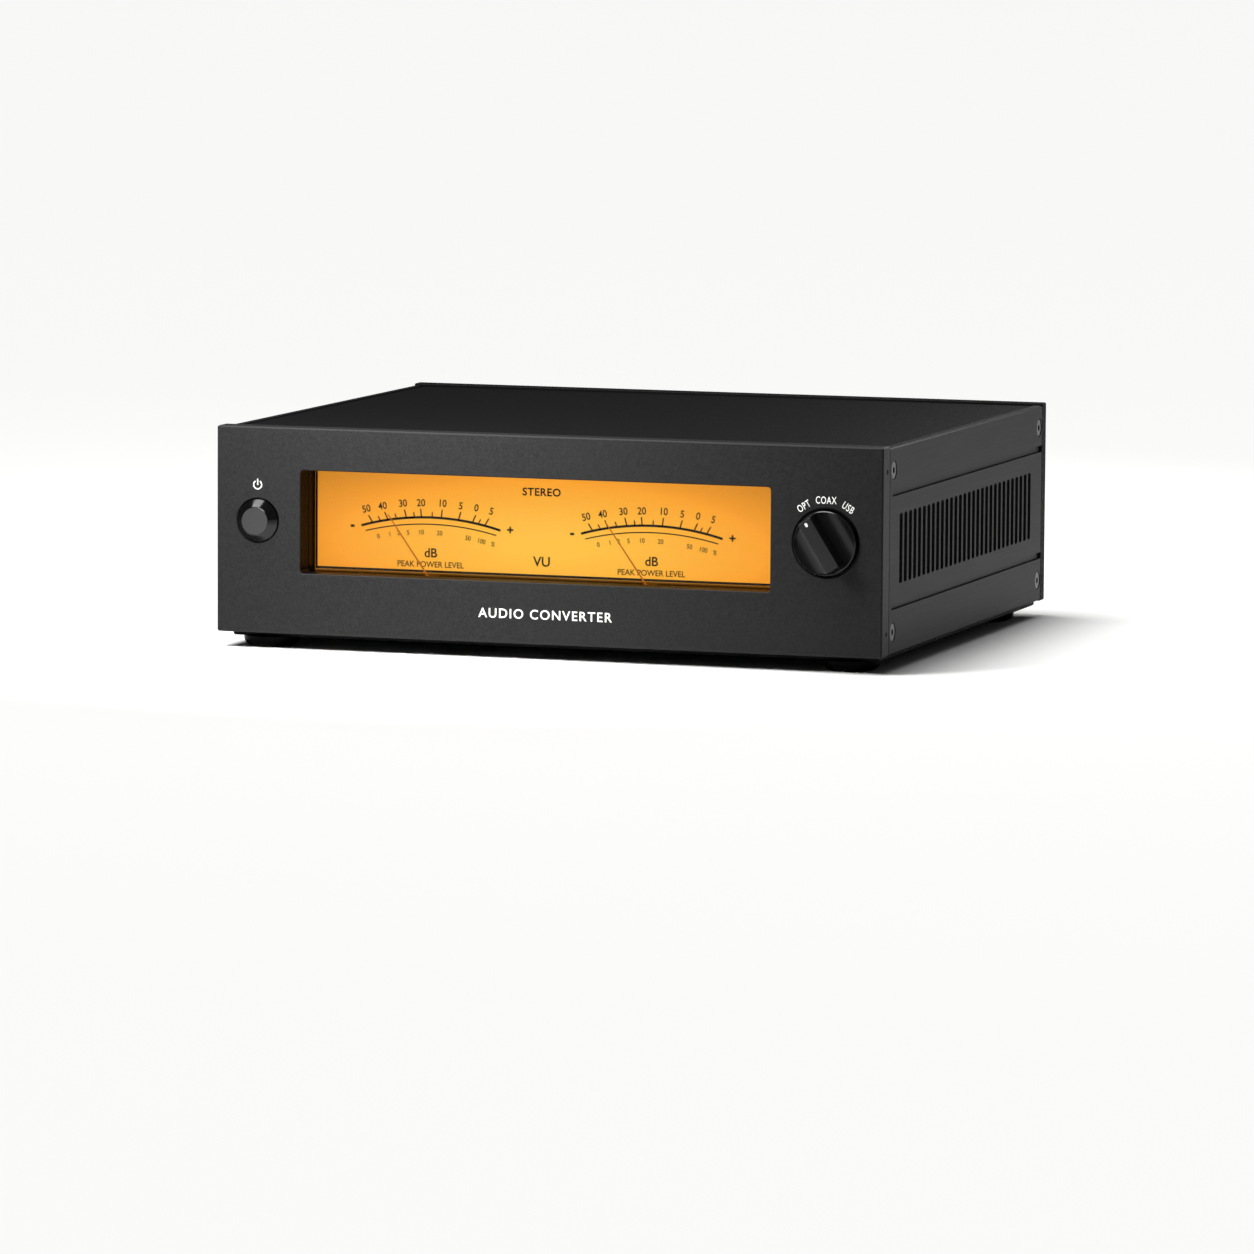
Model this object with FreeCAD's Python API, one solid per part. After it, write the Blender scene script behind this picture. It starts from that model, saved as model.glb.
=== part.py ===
import FreeCAD, Part

import math
import os

# A desktop digital-to-analogue converter with two needle meters behind a lit window.
# Millimetres. X runs to the right seen from the front, Y runs from front to back, Z is up.
# The origin is on the surface the feet stand on, under the middle of the case.
# "depth" in a name is a distance behind the front panel's face; in front of it is negative.

# ---- driving dimensions -------------------------------------------------------------

WIDTH = 245.0
DEPTH = 212.0
PANEL_HEIGHT = 73.0
PANEL_LIFT = 5.8
PANEL_THICK = 8.5
PANEL_CHAMFER = 0.5
KNOB_PROUD = 9.0

HALF = WIDTH / 2
FRONT = -DEPTH / 2
BACK = DEPTH / 2
PANEL_TOP = PANEL_LIFT + PANEL_HEIGHT


def behind(depth):
    """The Y of a point that far behind the front plate's face."""
    return FRONT + depth


def up(height):
    """The Z of a point that far above the front plate's lower edge."""
    return PANEL_LIFT + height


SIDE_THICK = 3.0
SIDE_INNER = HALF - SIDE_THICK
SIDE_BOTTOM = up(0.3)
SIDE_TOP = PANEL_TOP - 0.8
COVER_THICK = 2.0
COVER_TOP = PANEL_TOP - 1.0
COVER_BOTTOM = COVER_TOP - COVER_THICK
COVER_GAP = 0.9
BASE_THICK = 2.0
BASE_BOTTOM = up(-BASE_THICK)
BASE_TOP = up(0.0)
BASE_HALF = SIDE_INNER - 0.1
BASE_Y = (FRONT + PANEL_THICK, BACK - 3.0)
REAR_DEPTH = 6.0
REAR_WALL = 2.5
REAR_RIM = 2.2
REAR_START = BACK - REAR_DEPTH

FOOT_X = 107.2
FOOT_Y = (behind(15.0), behind(188.0))
FOOT_TOP_R = 10.0
FOOT_BOTTOM_R = 7.2
FOOT_HEIGHT = BASE_BOTTOM

WINDOW_X = (-91.3, 82.0)
WINDOW_Z = (up(21.6), up(58.1))
WINDOW_R = 1.2

BUTTON_X = -107.2
BUTTON_Z = up(39.8)
BUTTON_HOLE_R = 7.9
BUTTON_R = 7.5
BUTTON_FACE_R = 4.95
BUTTON_PROUD = 3.0
BUTTON_TRAVEL = 1.2
FLANGE_R = 9.2
PUSHER_R = 1.7
SWITCH_DEPTH = 14.5

KNOB_X = 102.0
KNOB_Z = up(39.4)
KNOB_RECESS_R = 12.05
KNOB_RECESS_DEEP = 2.6
KNOB_DISC_R = 11.2
KNOB_DISC_PROUD = 1.8
SCOOP_DEEP = 1.1
KNOB_REST_ANGLE = -32.0
GRIP_WIDTH = 5.3
GRIP_TOP_LENGTH = 19.6
GRIP_FOOT_LENGTH = 21.8
POINTER_R = 0.6
POINTER_RADIUS = 8.2
SHAFT_R = 3.0
SPIGOT_R = 2.0
RUNNING_CLEARANCE = 0.05

LENS_THICK = 2.0
LENS_BACK = PANEL_THICK + LENS_THICK
DIAL_DEPTH = 17.0
DIAL_BACK = DIAL_DEPTH + 1.0
GUIDE_BACK = DIAL_BACK + 4.0
LAMP_BOARD_DEPTH = GUIDE_BACK + 2.0
BOARD_THICK = 1.6
METER_BACK = 40.0
METER_X = (-47.5, 33.4)
METER_PIVOT_Z = up(19.6)
NEEDLE_DEPTH = 14.4
NEEDLE_THICK = 0.3
NEEDLE_LENGTH = 27.8
NEEDLE_TAIL = 1.1
NEEDLE_REST_ANGLE = -35.2
NEEDLE_ROOT_HALF = 0.28
NEEDLE_TIP_HALF = 0.14
ARBOR_R = 0.6
DIAL_HOLE_R = 1.0
LAMP_HOLE_R = 1.8

VENT_COUNT = 30
VENT_PITCH = 5.76
VENT_FIRST_Y = behind(22.4)
VENT_WIDTH = 3.7
VENT_Z = (up(24.3), up(48.7))
GROOVE_Z = (up(17.0), up(56.4))
GROOVE_WIDTH = 2.4
GROOVE_DEEP = 0.9
GROOVE_START_Y = behind(11.5)

SCREW_R = 1.5
THREAD_HOLE_R = 1.55
CLEARANCE_HOLE_R = 1.65
HEX_ACROSS = 2.5
SIDE_SCREW_Y = (behind(13.3), behind(202.4))
SIDE_SCREW_Z = (up(8.0), up(64.3))
BLOCK_SIZE = 9.0
BLOCK_X = (SIDE_INNER - 9.3, SIDE_INNER - 0.1)
BLOCK_Z = ((up(3.2), up(14.4)), (up(58.0), up(68.4)))
BLOCK_SCREW_X = 114.8
BLOCK_SCREW_Z = (up(11.8), up(60.6))
SUB_PANEL_BACK = PANEL_THICK + 1.2
MIDDLE_SCREW_X = (-40.0, 40.0)
MIDDLE_SCREW_Z = (up(7.0), up(66.0))
RAIL_SCREW_X = 116.5
RAIL_SCREW_Y = (-60.0, 60.0)

MAIN_BOARD = ((-112.0, 30.0), (-60.0, 76.0))
SUPPLY_BOARD = ((38.0, 111.0), (18.0, 74.0))
LADDER_BOARD = ((-108.0, -24.0), (-50.0, 40.0))
BOARD_Z = up(7.0)
DECK_Z = up(29.0)
TOROID_X, TOROID_Y = 75.0, -22.0
TOROID_R = 33.0
TOROID_HOLE_R = 12.0
TOROID_Z = (up(1.2), up(31.2))

INLET_X, INLET_Z = 88.0, up(24.0)
ROCKER_X, ROCKER_Z = 88.0, up(54.0)
ROCKER_PIN_Y = BACK - 3.0
ROCKER_TILT = 8.0
XLR_X, XLR_Z = (46.0, 10.0), up(36.5)
LINE_X, LINE_Z = -22.0, (up(26.0), up(49.0))
COAX_X, COAX_Z = -52.0, up(26.0)
OPTICAL_X, OPTICAL_Z = -52.0, up(49.0)
USB_X, USB_Z = -80.0, up(26.0)
JACK_PROUD = KNOB_PROUD
JACK_R = 4.15

PARTS = "parts"


# ---- small helpers ------------------------------------------------------------------

def block(x, y, z):
    """A box from three (low, high) pairs."""
    return Part.makeBox(
        x[1] - x[0], y[1] - y[0], z[1] - z[0], FreeCAD.Vector(x[0], y[0], z[0])
    )


def grown(pair, by):
    """A (low, high) pair made longer at both ends."""
    return (pair[0] - by, pair[1] + by)


STACK_X = grown(WINDOW_X, 3.9)
STACK_Z = grown(WINDOW_Z, 3.9)


def around(x, z, wide, high, y):
    """A box centred on x and z, with its own y pair."""
    return block((x - wide / 2, x + wide / 2), y, (z - high / 2, z + high / 2))


def rod_y(x, z, radius, y):
    """A round bar along Y."""
    axis = FreeCAD.Vector(0, 1, 0)
    return Part.makeCylinder(radius, y[1] - y[0], FreeCAD.Vector(x, y[0], z), axis)


def rod_z(x, y, radius, z):
    """A round bar along Z."""
    return Part.makeCylinder(radius, z[1] - z[0], FreeCAD.Vector(x, y, z[0]))


def rod_x(y, z, radius, x):
    """A round bar along X."""
    axis = FreeCAD.Vector(1, 0, 0)
    return Part.makeCylinder(radius, x[1] - x[0], FreeCAD.Vector(x[0], y, z), axis)


def cone(base, tip, base_r, tip_r):
    """A truncated cone between two points."""
    run = tip - base
    return Part.makeCone(base_r, tip_r, run.Length, base, run)


def rounded_prism(x, z, radius, y):
    """A bar along Y whose X-Z outline has rounded corners."""
    bar = block(x, y, z)
    corners = [e for e in bar.Edges if abs(e.tangentAt(e.FirstParameter).y) > 0.99]
    return bar.makeFillet(radius, corners)


def hex_bar(centre, direction, across, length):
    """A hexagonal bar that starts at centre and runs along direction."""
    corner = across / math.sqrt(3)
    points = []
    for k in range(7):
        angle = math.radians(60 * k)
        points.append(FreeCAD.Vector(corner * math.cos(angle), corner * math.sin(angle), 0))
    bar = Part.Face(Part.makePolygon(points)).extrude(FreeCAD.Vector(0, 0, length))
    bar.Placement = FreeCAD.Placement(
        centre, FreeCAD.Rotation(FreeCAD.Vector(0, 0, 1), direction)
    )
    return bar


def cut(shape, *tools):
    """shape less every tool; a tool may be a list."""
    flat = []
    for tool in tools:
        flat.extend(tool if isinstance(tool, list) else [tool])
    return shape.cut(flat) if flat else shape


def fuse(first, *others):
    """One solid from several that touch or overlap."""
    flat = []
    for other in others:
        flat.extend(other if isinstance(other, list) else [other])
    return first.fuse(flat).removeSplitter()


def edges_in_plane_y(shape, y, keep=lambda edge: True):
    """The edges that lie wholly at one Y and that keep() accepts."""
    found = []
    for edge in shape.Edges:
        box = edge.BoundBox
        if abs(box.YMin - y) < 1e-4 and abs(box.YMax - y) < 1e-4 and keep(edge):
            found.append(edge)
    return found


def mirror_x(shape):
    """The same piece on the other side of the case."""
    return shape.mirror(FreeCAD.Vector(0, 0, 0), FreeCAD.Vector(1, 0, 0))


def turn_about_y(shape, x, z, degrees):
    """shape turned about a line along Y; positive is clockwise seen from the front."""
    turned = shape.copy()
    turned.rotate(FreeCAD.Vector(x, 0, z), FreeCAD.Vector(0, 1, 0), degrees)
    return turned


def save(name, *pieces):
    """Writes one node: a single solid, or a group of separate ones."""
    solids = []
    for piece in pieces:
        solids.extend(piece if isinstance(piece, list) else [piece])
    closed = []
    for shape in solids:
        closed.extend(shape.Solids)
    for solid in closed:
        if not solid.isValid() or solid.Volume <= 0:
            raise ValueError(f"{name} has a bad solid")
    made = closed[0] if len(closed) == 1 else Part.makeCompound(closed)
    made.exportStep(os.path.join(PARTS, name + ".step"))
    print(f"{name}: {len(closed)} solid(s), {sum(s.Volume for s in closed) / 1000:.2f} cm3")


def countersunk_screw(seat, inward, length, head_r, hex_across):
    """A flat-headed socket screw. seat is the middle of its head's face, inward its way in."""
    way = FreeCAD.Vector(inward).normalize()
    head_deep = head_r - SCREW_R
    head = cone(seat, seat + way * head_deep, head_r, SCREW_R)
    shank = Part.makeCylinder(SCREW_R, length - head_deep, seat + way * head_deep, way)
    socket = hex_bar(seat - way * 0.01, way, hex_across, 1.3)
    return cut(fuse(head, shank), socket)


def countersink(seat, inward, through, head_r):
    """The hole that such a screw sits in, with a little room round the head."""
    way = FreeCAD.Vector(inward).normalize()
    lip = 0.2
    mouth = Part.makeCylinder(head_r + 0.12, lip, seat - way * lip, way)
    seat_cone = cone(seat, seat + way * (head_r - SCREW_R), head_r + 0.12, SCREW_R + 0.12)
    hole = Part.makeCylinder(SCREW_R + 0.12, through, seat, way)
    return [mouth, seat_cone, hole]


def pan_screw(seat, inward, length, head_r, head_high):
    """A screw with a round raised head and a hexagon socket."""
    way = FreeCAD.Vector(inward).normalize()
    top = seat - way * head_high
    head = cone(seat, top, head_r, head_r * 0.72)
    shank = Part.makeCylinder(SCREW_R, length, seat, way)
    socket = hex_bar(top - way * 0.01, way, 2.0, head_high * 0.7)
    return cut(fuse(head, shank), socket)


# ---- the case -----------------------------------------------------------------------

def front_panel():
    """The thick front plate with its window, button hole and knob recess."""
    plate = block((-HALF, HALF), (FRONT, behind(PANEL_THICK)), (PANEL_LIFT, PANEL_TOP))
    plate = plate.makeChamfer(PANEL_CHAMFER, plate.Edges)
    through = (FRONT - 1, behind(PANEL_THICK) + 1)
    window = rounded_prism(WINDOW_X, WINDOW_Z, WINDOW_R, through)
    button_hole = rod_y(BUTTON_X, BUTTON_Z, BUTTON_HOLE_R, through)
    recess = rod_y(KNOB_X, KNOB_Z, KNOB_RECESS_R, (FRONT - 1, behind(KNOB_RECESS_DEEP)))
    nut_hole = rod_y(KNOB_X, KNOB_Z, 8.5, through)
    plate = cut(plate, window, button_hole, recess, nut_hole)

    def is_opening(edge):
        box = edge.BoundBox
        return abs(box.XMin) < HALF - 5 and abs(box.XMax) < HALF - 5

    plate = plate.makeChamfer(0.3, edges_in_plane_y(plate, FRONT, is_opening))
    bores = []
    for side in (-1, 1):
        for z in SIDE_SCREW_Z:
            inner = sorted((side * (HALF - 4.0), side * (HALF + 1)))
            bores.append(rod_x(behind(5.2), z, 0.85, inner))
        for z in BLOCK_SCREW_Z:
            bores.append(rod_y(side * BLOCK_SCREW_X, z, THREAD_HOLE_R, (behind(4.0), behind(9.5))))
    for x in MIDDLE_SCREW_X:
        for z in MIDDLE_SCREW_Z:
            bores.append(rod_y(x, z, THREAD_HOLE_R, (behind(4.5), behind(9.5))))
    save("front_panel", cut(plate, bores))


def panel_set_screws():
    """Four grub screws in the front plate's ends, each with a hexagon socket."""
    pieces = []
    for side in (-1, 1):
        way = FreeCAD.Vector(-side, 0, 0)
        for z in SIDE_SCREW_Z:
            ends = sorted((side * (HALF - 4.0), side * (HALF - 0.3)))
            socket = hex_bar(FreeCAD.Vector(side * HALF, behind(5.2), z), way, 0.9, 1.3)
            pieces.append(cut(rod_x(behind(5.2), z, 0.8, ends), socket))
    save("panel_set_screws", pieces)


def sub_panel():
    """The steel plate that stiffens the front and carries the selector."""
    y = (behind(PANEL_THICK), behind(SUB_PANEL_BACK))
    plate = block((-BASE_HALF, BASE_HALF), y, (up(0.3), COVER_BOTTOM - 0.4))
    open_y = grown(y, 1)
    lens_zone = block(grown(STACK_X, 0.4), open_y, grown(STACK_Z, 0.4))
    button_zone = rod_y(BUTTON_X, BUTTON_Z, 10.6, open_y)
    bushing = rod_y(KNOB_X, KNOB_Z, 4.65, open_y)
    holes = []
    for side in (-1, 1):
        for z in BLOCK_SCREW_Z:
            holes.append(rod_y(side * BLOCK_SCREW_X, z, CLEARANCE_HOLE_R, open_y))
    for x in MIDDLE_SCREW_X:
        for z in MIDDLE_SCREW_Z:
            holes.append(rod_y(x, z, CLEARANCE_HOLE_R, open_y))
    save("sub_panel", cut(plate, lens_zone, button_zone, bushing, holes))


def panel_screws():
    """Screws that pull the front plate back against the sub-panel and corner blocks."""
    inward = FreeCAD.Vector(0, -1, 0)
    block_back = behind(SUB_PANEL_BACK + BLOCK_SIZE)
    pieces = []
    for side in (-1, 1):
        for z in BLOCK_SCREW_Z:
            seat = FreeCAD.Vector(side * BLOCK_SCREW_X, block_back, z)
            pieces.append(pan_screw(seat, inward, block_back - behind(4.0), 2.7, 1.7))
    for x in MIDDLE_SCREW_X:
        for z in MIDDLE_SCREW_Z:
            seat = FreeCAD.Vector(x, behind(SUB_PANEL_BACK), z)
            pieces.append(pan_screw(seat, inward, SUB_PANEL_BACK - 4.5, 2.7, 1.7))
    save("panel_screws", pieces)


def corner_blocks():
    """Eight threaded blocks that join the side panels to the front and the rear."""
    front_y = (behind(SUB_PANEL_BACK), behind(SUB_PANEL_BACK + BLOCK_SIZE))
    rear_y = (SIDE_SCREW_Y[1] - BLOCK_SIZE / 2, BACK - REAR_WALL)
    pieces = []
    for y, screw_y in zip((front_y, rear_y), SIDE_SCREW_Y):
        for side in (-1, 1):
            x = sorted((side * BLOCK_X[0], side * BLOCK_X[1]))
            for z, side_z, end_z in zip(BLOCK_Z, SIDE_SCREW_Z, BLOCK_SCREW_Z):
                cross = rod_x(screw_y, side_z, THREAD_HOLE_R, grown(x, 1))
                along = rod_y(side * BLOCK_SCREW_X, end_z, THREAD_HOLE_R, grown(y, 1))
                pieces.append(cut(block(x, y, z), cross, along))
    save("corner_blocks", pieces)


def side_panel(name, mirrored):
    """An extruded side with cooling slots, two long grooves and rails for the cover and base."""
    y = (behind(PANEL_THICK), REAR_START)
    wall = block((SIDE_INNER, HALF), y, (SIDE_BOTTOM, SIDE_TOP))
    outer_rims = []
    for edge in wall.Edges:
        box = edge.BoundBox
        runs_back = box.YLength > 100
        if runs_back and abs(box.XMax - HALF) < 1e-6:
            outer_rims.append(edge)
    wall = wall.makeChamfer(0.5, outer_rims)
    clear_y = (behind(SUB_PANEL_BACK + BLOCK_SIZE + 0.6), SIDE_SCREW_Y[1] - BLOCK_SIZE / 2 - 0.6)
    cover_rail = block((SIDE_INNER - 3.0, SIDE_INNER), clear_y, (COVER_BOTTOM - 1.5, COVER_BOTTOM))
    base_rail = block((SIDE_INNER - 6.0, SIDE_INNER), clear_y, (BASE_TOP, BASE_TOP + 4.0))
    wall = fuse(wall, cover_rail, base_rail)
    tools = []
    for k in range(VENT_COUNT):
        middle = VENT_FIRST_Y + k * VENT_PITCH
        slot_y = (middle - VENT_WIDTH / 2, middle + VENT_WIDTH / 2)
        slot = block((SIDE_INNER - 1, HALF + 1), slot_y, VENT_Z)
        corners = [e for e in slot.Edges if e.BoundBox.XLength > 2]
        tools.append(slot.makeFillet(VENT_WIDTH * 0.3, corners))
    for z in GROOVE_Z:
        groove_z = (z - GROOVE_WIDTH / 2, z + GROOVE_WIDTH / 2)
        tools.append(block((HALF - GROOVE_DEEP, HALF + 1), (GROOVE_START_Y, y[1] + 1), groove_z))
    for screw_y in SIDE_SCREW_Y:
        for z in SIDE_SCREW_Z:
            seat = FreeCAD.Vector(HALF - 0.2, screw_y, z)
            tools.extend(countersink(seat, (-1, 0, 0), SIDE_THICK + 1, 3.2))
    for screw_y in RAIL_SCREW_Y:
        tools.append(rod_z(RAIL_SCREW_X, screw_y, THREAD_HOLE_R, (BASE_TOP - 1, BASE_TOP + 5.0)))
    wall = cut(wall, tools)
    save(name, mirror_x(wall) if mirrored else wall)


def side_screws():
    """Eight flat-headed socket screws, four in each side."""
    pieces = []
    for side in (-1, 1):
        for y in SIDE_SCREW_Y:
            for z in SIDE_SCREW_Z:
                seat = FreeCAD.Vector(side * (HALF - 0.2), y, z)
                pieces.append(countersunk_screw(seat, (-side, 0, 0), 10.5, 3.2, HEX_ACROSS))
    save("side_screws", pieces)


def top_cover():
    """A flat lid that lies between the sides, a little below their top edge."""
    half = SIDE_INNER - COVER_GAP
    y = (behind(PANEL_THICK) + 0.1, REAR_START - 0.1)
    lid = block((-half, half), y, (COVER_BOTTOM, COVER_TOP))
    rims = [e for e in lid.Edges if e.BoundBox.ZMin > COVER_TOP - 1e-6]
    save("top_cover", lid.makeChamfer(0.4, rims))


def base_plate():
    """The bottom plate, with air slots, that the feet and the boards are screwed to."""
    z = (BASE_BOTTOM, BASE_TOP)
    plate = block((-BASE_HALF, BASE_HALF), BASE_Y, z)
    rims = [e for e in plate.Edges if e.BoundBox.ZMax < z[0] + 1e-6]
    plate = plate.makeChamfer(0.4, rims)
    tools = []
    for side in (-1, 1):
        for y in RAIL_SCREW_Y:
            seat = FreeCAD.Vector(side * RAIL_SCREW_X, y, z[0] + 0.1)
            tools.extend(countersink(seat, (0, 0, 1), BASE_THICK + 1, 2.9))
        for y in FOOT_Y:
            tools.append(rod_z(side * FOOT_X, y, CLEARANCE_HOLE_R, grown(z, 1)))
    for row in (-1, 1):
        for k in range(10):
            x = (k - 4.5) * 7.0
            y = row * 32.0
            slot = block((x - 1.5, x + 1.5), (y - 12.0, y + 12.0), grown(z, 1))
            ends = [e for e in slot.Edges if e.BoundBox.ZLength > 2]
            tools.append(slot.makeFillet(1.3, ends))
    tools.append(rod_z(TOROID_X, TOROID_Y, 3.05, grown(z, 1)))
    save("base_plate", cut(plate, tools))


def base_screws():
    """Four flat-headed screws from the bottom plate into the sides' rails."""
    pieces = []
    for side in (-1, 1):
        for y in RAIL_SCREW_Y:
            seat = FreeCAD.Vector(side * RAIL_SCREW_X, y, BASE_BOTTOM + 0.1)
            pieces.append(countersunk_screw(seat, (0, 0, 1), 5.2, 2.9, 2.0))
    save("base_screws", pieces)


def foot_outline():
    """Half of a foot's section: flat underneath, bulging out to a straight rim."""
    shoulder = FOOT_HEIGHT * 0.78
    middle = FreeCAD.Vector(0, 0, 0)
    rim_low = FreeCAD.Vector(FOOT_BOTTOM_R, 0, 0)
    bulge = FreeCAD.Vector(FOOT_TOP_R - 0.8, 0, shoulder * 0.34)
    rim_high = FreeCAD.Vector(FOOT_TOP_R, 0, shoulder)
    top_edge = FreeCAD.Vector(FOOT_TOP_R, 0, FOOT_HEIGHT)
    top_middle = FreeCAD.Vector(0, 0, FOOT_HEIGHT)
    return Part.Wire([
        Part.LineSegment(middle, rim_low).toShape(),
        Part.Arc(rim_low, bulge, rim_high).toShape(),
        Part.LineSegment(rim_high, top_edge).toShape(),
        Part.LineSegment(top_edge, top_middle).toShape(),
        Part.LineSegment(top_middle, middle).toShape(),
    ])


def foot_screw(x, y):
    """A socket screw up through a foot and the bottom plate, with its nut as one solid."""
    upwards = FreeCAD.Vector(0, 0, 1)
    head = rod_z(x, y, 3.0, (0.6, 1.6))
    shank = rod_z(x, y, SCREW_R, (1.6, BASE_TOP + 2.4))
    socket = hex_bar(FreeCAD.Vector(x, y, 0.5), upwards, 2.0, 0.8)
    nut = hex_bar(FreeCAD.Vector(x, y, BASE_TOP), upwards, 5.5, 2.4)
    return cut(fuse(head, shank, nut), socket)


def feet():
    """Four round rubber feet, each with a pocket for its screw."""
    screws = []
    for end, y in zip(("front", "rear"), FOOT_Y):
        for side, x in (("left", -FOOT_X), ("right", FOOT_X)):
            start = FreeCAD.Vector(0, 0, 0)
            foot = Part.Face(foot_outline()).revolve(start, FreeCAD.Vector(0, 0, 1), 360)
            foot.translate(FreeCAD.Vector(x, y, 0))
            pocket = rod_z(x, y, 3.6, (-1, 1.6))
            hole = rod_z(x, y, CLEARANCE_HOLE_R, (-1, FOOT_HEIGHT + 1))
            save(f"foot_{end}_{side}", cut(foot, pocket, hole))
            screws.append(foot_screw(x, y))
    save("foot_screws", screws)


def rear_panel():
    """A shallow pan that closes the back and holds every socket."""
    y = (REAR_START, BACK)
    pan = block((-HALF, HALF), y, (PANEL_LIFT, PANEL_TOP))
    pan = pan.makeChamfer(0.4, pan.Edges)
    pocket_x = (-HALF + REAR_RIM, HALF - REAR_RIM)
    pocket_z = (up(REAR_RIM), PANEL_TOP - REAR_RIM)
    pocket = block(pocket_x, (REAR_START - 1, BACK - REAR_WALL), pocket_z)
    through = (BACK - REAR_WALL - 1, BACK + 1)
    tools = [pocket]
    tools.append(around(INLET_X, INLET_Z, 27.2, 19.7, through))
    tools.append(around(ROCKER_X, ROCKER_Z, 13.2, 19.2, through))
    for x in XLR_X:
        tools.append(rod_y(x, XLR_Z, 11.9, through))
        for screw_x, screw_z in xlr_screw_places(x):
            tools.append(rod_y(screw_x, screw_z, THREAD_HOLE_R, through))
    for x, z in JACK_PLACES:
        tools.append(rod_y(x, z, JACK_R + 0.05, through))
    tools.append(around(OPTICAL_X, OPTICAL_Z, 13.2, 13.2, through))
    tools.append(around(USB_X, USB_Z, 12.2, 11.2, through))
    for side in (-1, 1):
        for z in BLOCK_SCREW_Z:
            tools.append(rod_y(side * BLOCK_SCREW_X, z, CLEARANCE_HOLE_R, through))
        tools.append(rod_y(INLET_X + side * 20.0, INLET_Z, THREAD_HOLE_R, through))
    save("rear_panel", cut(pan, tools))


JACK_PLACES = ((LINE_X, LINE_Z[0]), (LINE_X, LINE_Z[1]), (COAX_X, COAX_Z))


def xlr_screw_places(x):
    """The two screws of a line socket stand at opposite corners of its flange."""
    return ((x - 9.5, XLR_Z + 12.0), (x + 9.5, XLR_Z - 12.0))


def rear_screws():
    """Raised-head screws on the back: panel, mains inlet and line sockets."""
    inward = FreeCAD.Vector(0, -1, 0)
    pieces = []
    for side in (-1, 1):
        for z in BLOCK_SCREW_Z:
            seat = FreeCAD.Vector(side * BLOCK_SCREW_X, BACK, z)
            pieces.append(pan_screw(seat, inward, 7.0, 2.7, 1.6))
        seat = FreeCAD.Vector(INLET_X + side * 20.0, BACK + 2.5, INLET_Z)
        pieces.append(pan_screw(seat, inward, 6.0, 2.5, 1.4))
    for x in XLR_X:
        for screw_x, screw_z in xlr_screw_places(x):
            seat = FreeCAD.Vector(screw_x, BACK + 1.8, screw_z)
            pieces.append(pan_screw(seat, inward, 5.5, 2.4, 1.3))
    save("rear_screws", pieces)


# ---- the lit meter window -----------------------------------------------------------

def window_lens():
    """A clear sheet behind the window opening."""
    y = (behind(PANEL_THICK), behind(LENS_BACK))
    save("window_lens", block(grown(WINDOW_X, 3.0), y, grown(WINDOW_Z, 3.0)))


def meter_housing():
    """The black tunnel between the clear sheet and the dial, notched at each needle's hub."""
    ring = block(STACK_X, (behind(PANEL_THICK), behind(DIAL_DEPTH)), STACK_Z)
    sheet_y = (behind(PANEL_THICK) - 1, behind(LENS_BACK))
    sheet_room = block(grown(WINDOW_X, 3.1), sheet_y, grown(WINDOW_Z, 3.1))
    sight_y = (behind(LENS_BACK) - 1, behind(DIAL_DEPTH) + 1)
    sight = block(grown(WINDOW_X, 0.4), sight_y, grown(WINDOW_Z, 0.4))
    notches = []
    for x in METER_X:
        notch_z = (STACK_Z[0] + 0.4, WINDOW_Z[0])
        notches.append(block((x - 3.2, x + 3.2), (behind(LENS_BACK + 1.9), sight_y[1]), notch_z))
    save("meter_housing", cut(ring, sheet_room, sight, notches))


def dial_plate():
    """The translucent scale, with a hole for each needle's arbor."""
    y = (behind(DIAL_DEPTH), behind(DIAL_BACK))
    holes = [rod_y(x, METER_PIVOT_Z, DIAL_HOLE_R, grown(y, 1)) for x in METER_X]
    save("dial_plate", cut(block(STACK_X, y, STACK_Z), holes))


def light_guide():
    """A clear slab that spreads the lamps' light over the dial."""
    y = (behind(DIAL_BACK), behind(GUIDE_BACK))
    holes = [rod_y(x, METER_PIVOT_Z, LAMP_HOLE_R, grown(y, 1)) for x in METER_X]
    save("light_guide", cut(block(STACK_X, y, STACK_Z), holes))


def lamp_board():
    """The circuit board behind the light guide, with its rows of lamps soldered on."""
    y = (behind(LAMP_BOARD_DEPTH), behind(LAMP_BOARD_DEPTH + BOARD_THICK))
    holes = [rod_y(x, METER_PIVOT_Z, LAMP_HOLE_R, grown(y, 1)) for x in METER_X]
    plate = cut(block(STACK_X, y, grown(WINDOW_Z, 3.0)), holes)
    lamps = []
    for k in range(10):
        x = STACK_X[0] + 10.0 + k * 18.0
        for z in (up(33.0), up(51.0)):
            lamps.append(around(x, z, 3.5, 2.8, (behind(GUIDE_BACK), y[0])))
    save("lamp_board", fuse(plate, lamps))


def meter_movement(name, x):
    """The can of a moving-coil meter: closed, with a jewel hole for the arbor."""
    y = (behind(LAMP_BOARD_DEPTH + BOARD_THICK), behind(METER_BACK))
    can = rod_y(x, METER_PIVOT_Z, 12.0, y)
    room = rod_y(x, METER_PIVOT_Z, 10.4, (y[0] + 1.5, y[1] - 1.5))
    jewel = rod_y(x, METER_PIVOT_Z, ARBOR_R + RUNNING_CLEARANCE, (y[0] - 1, y[0] + 3))
    save(name, cut(can, room, jewel))


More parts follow.
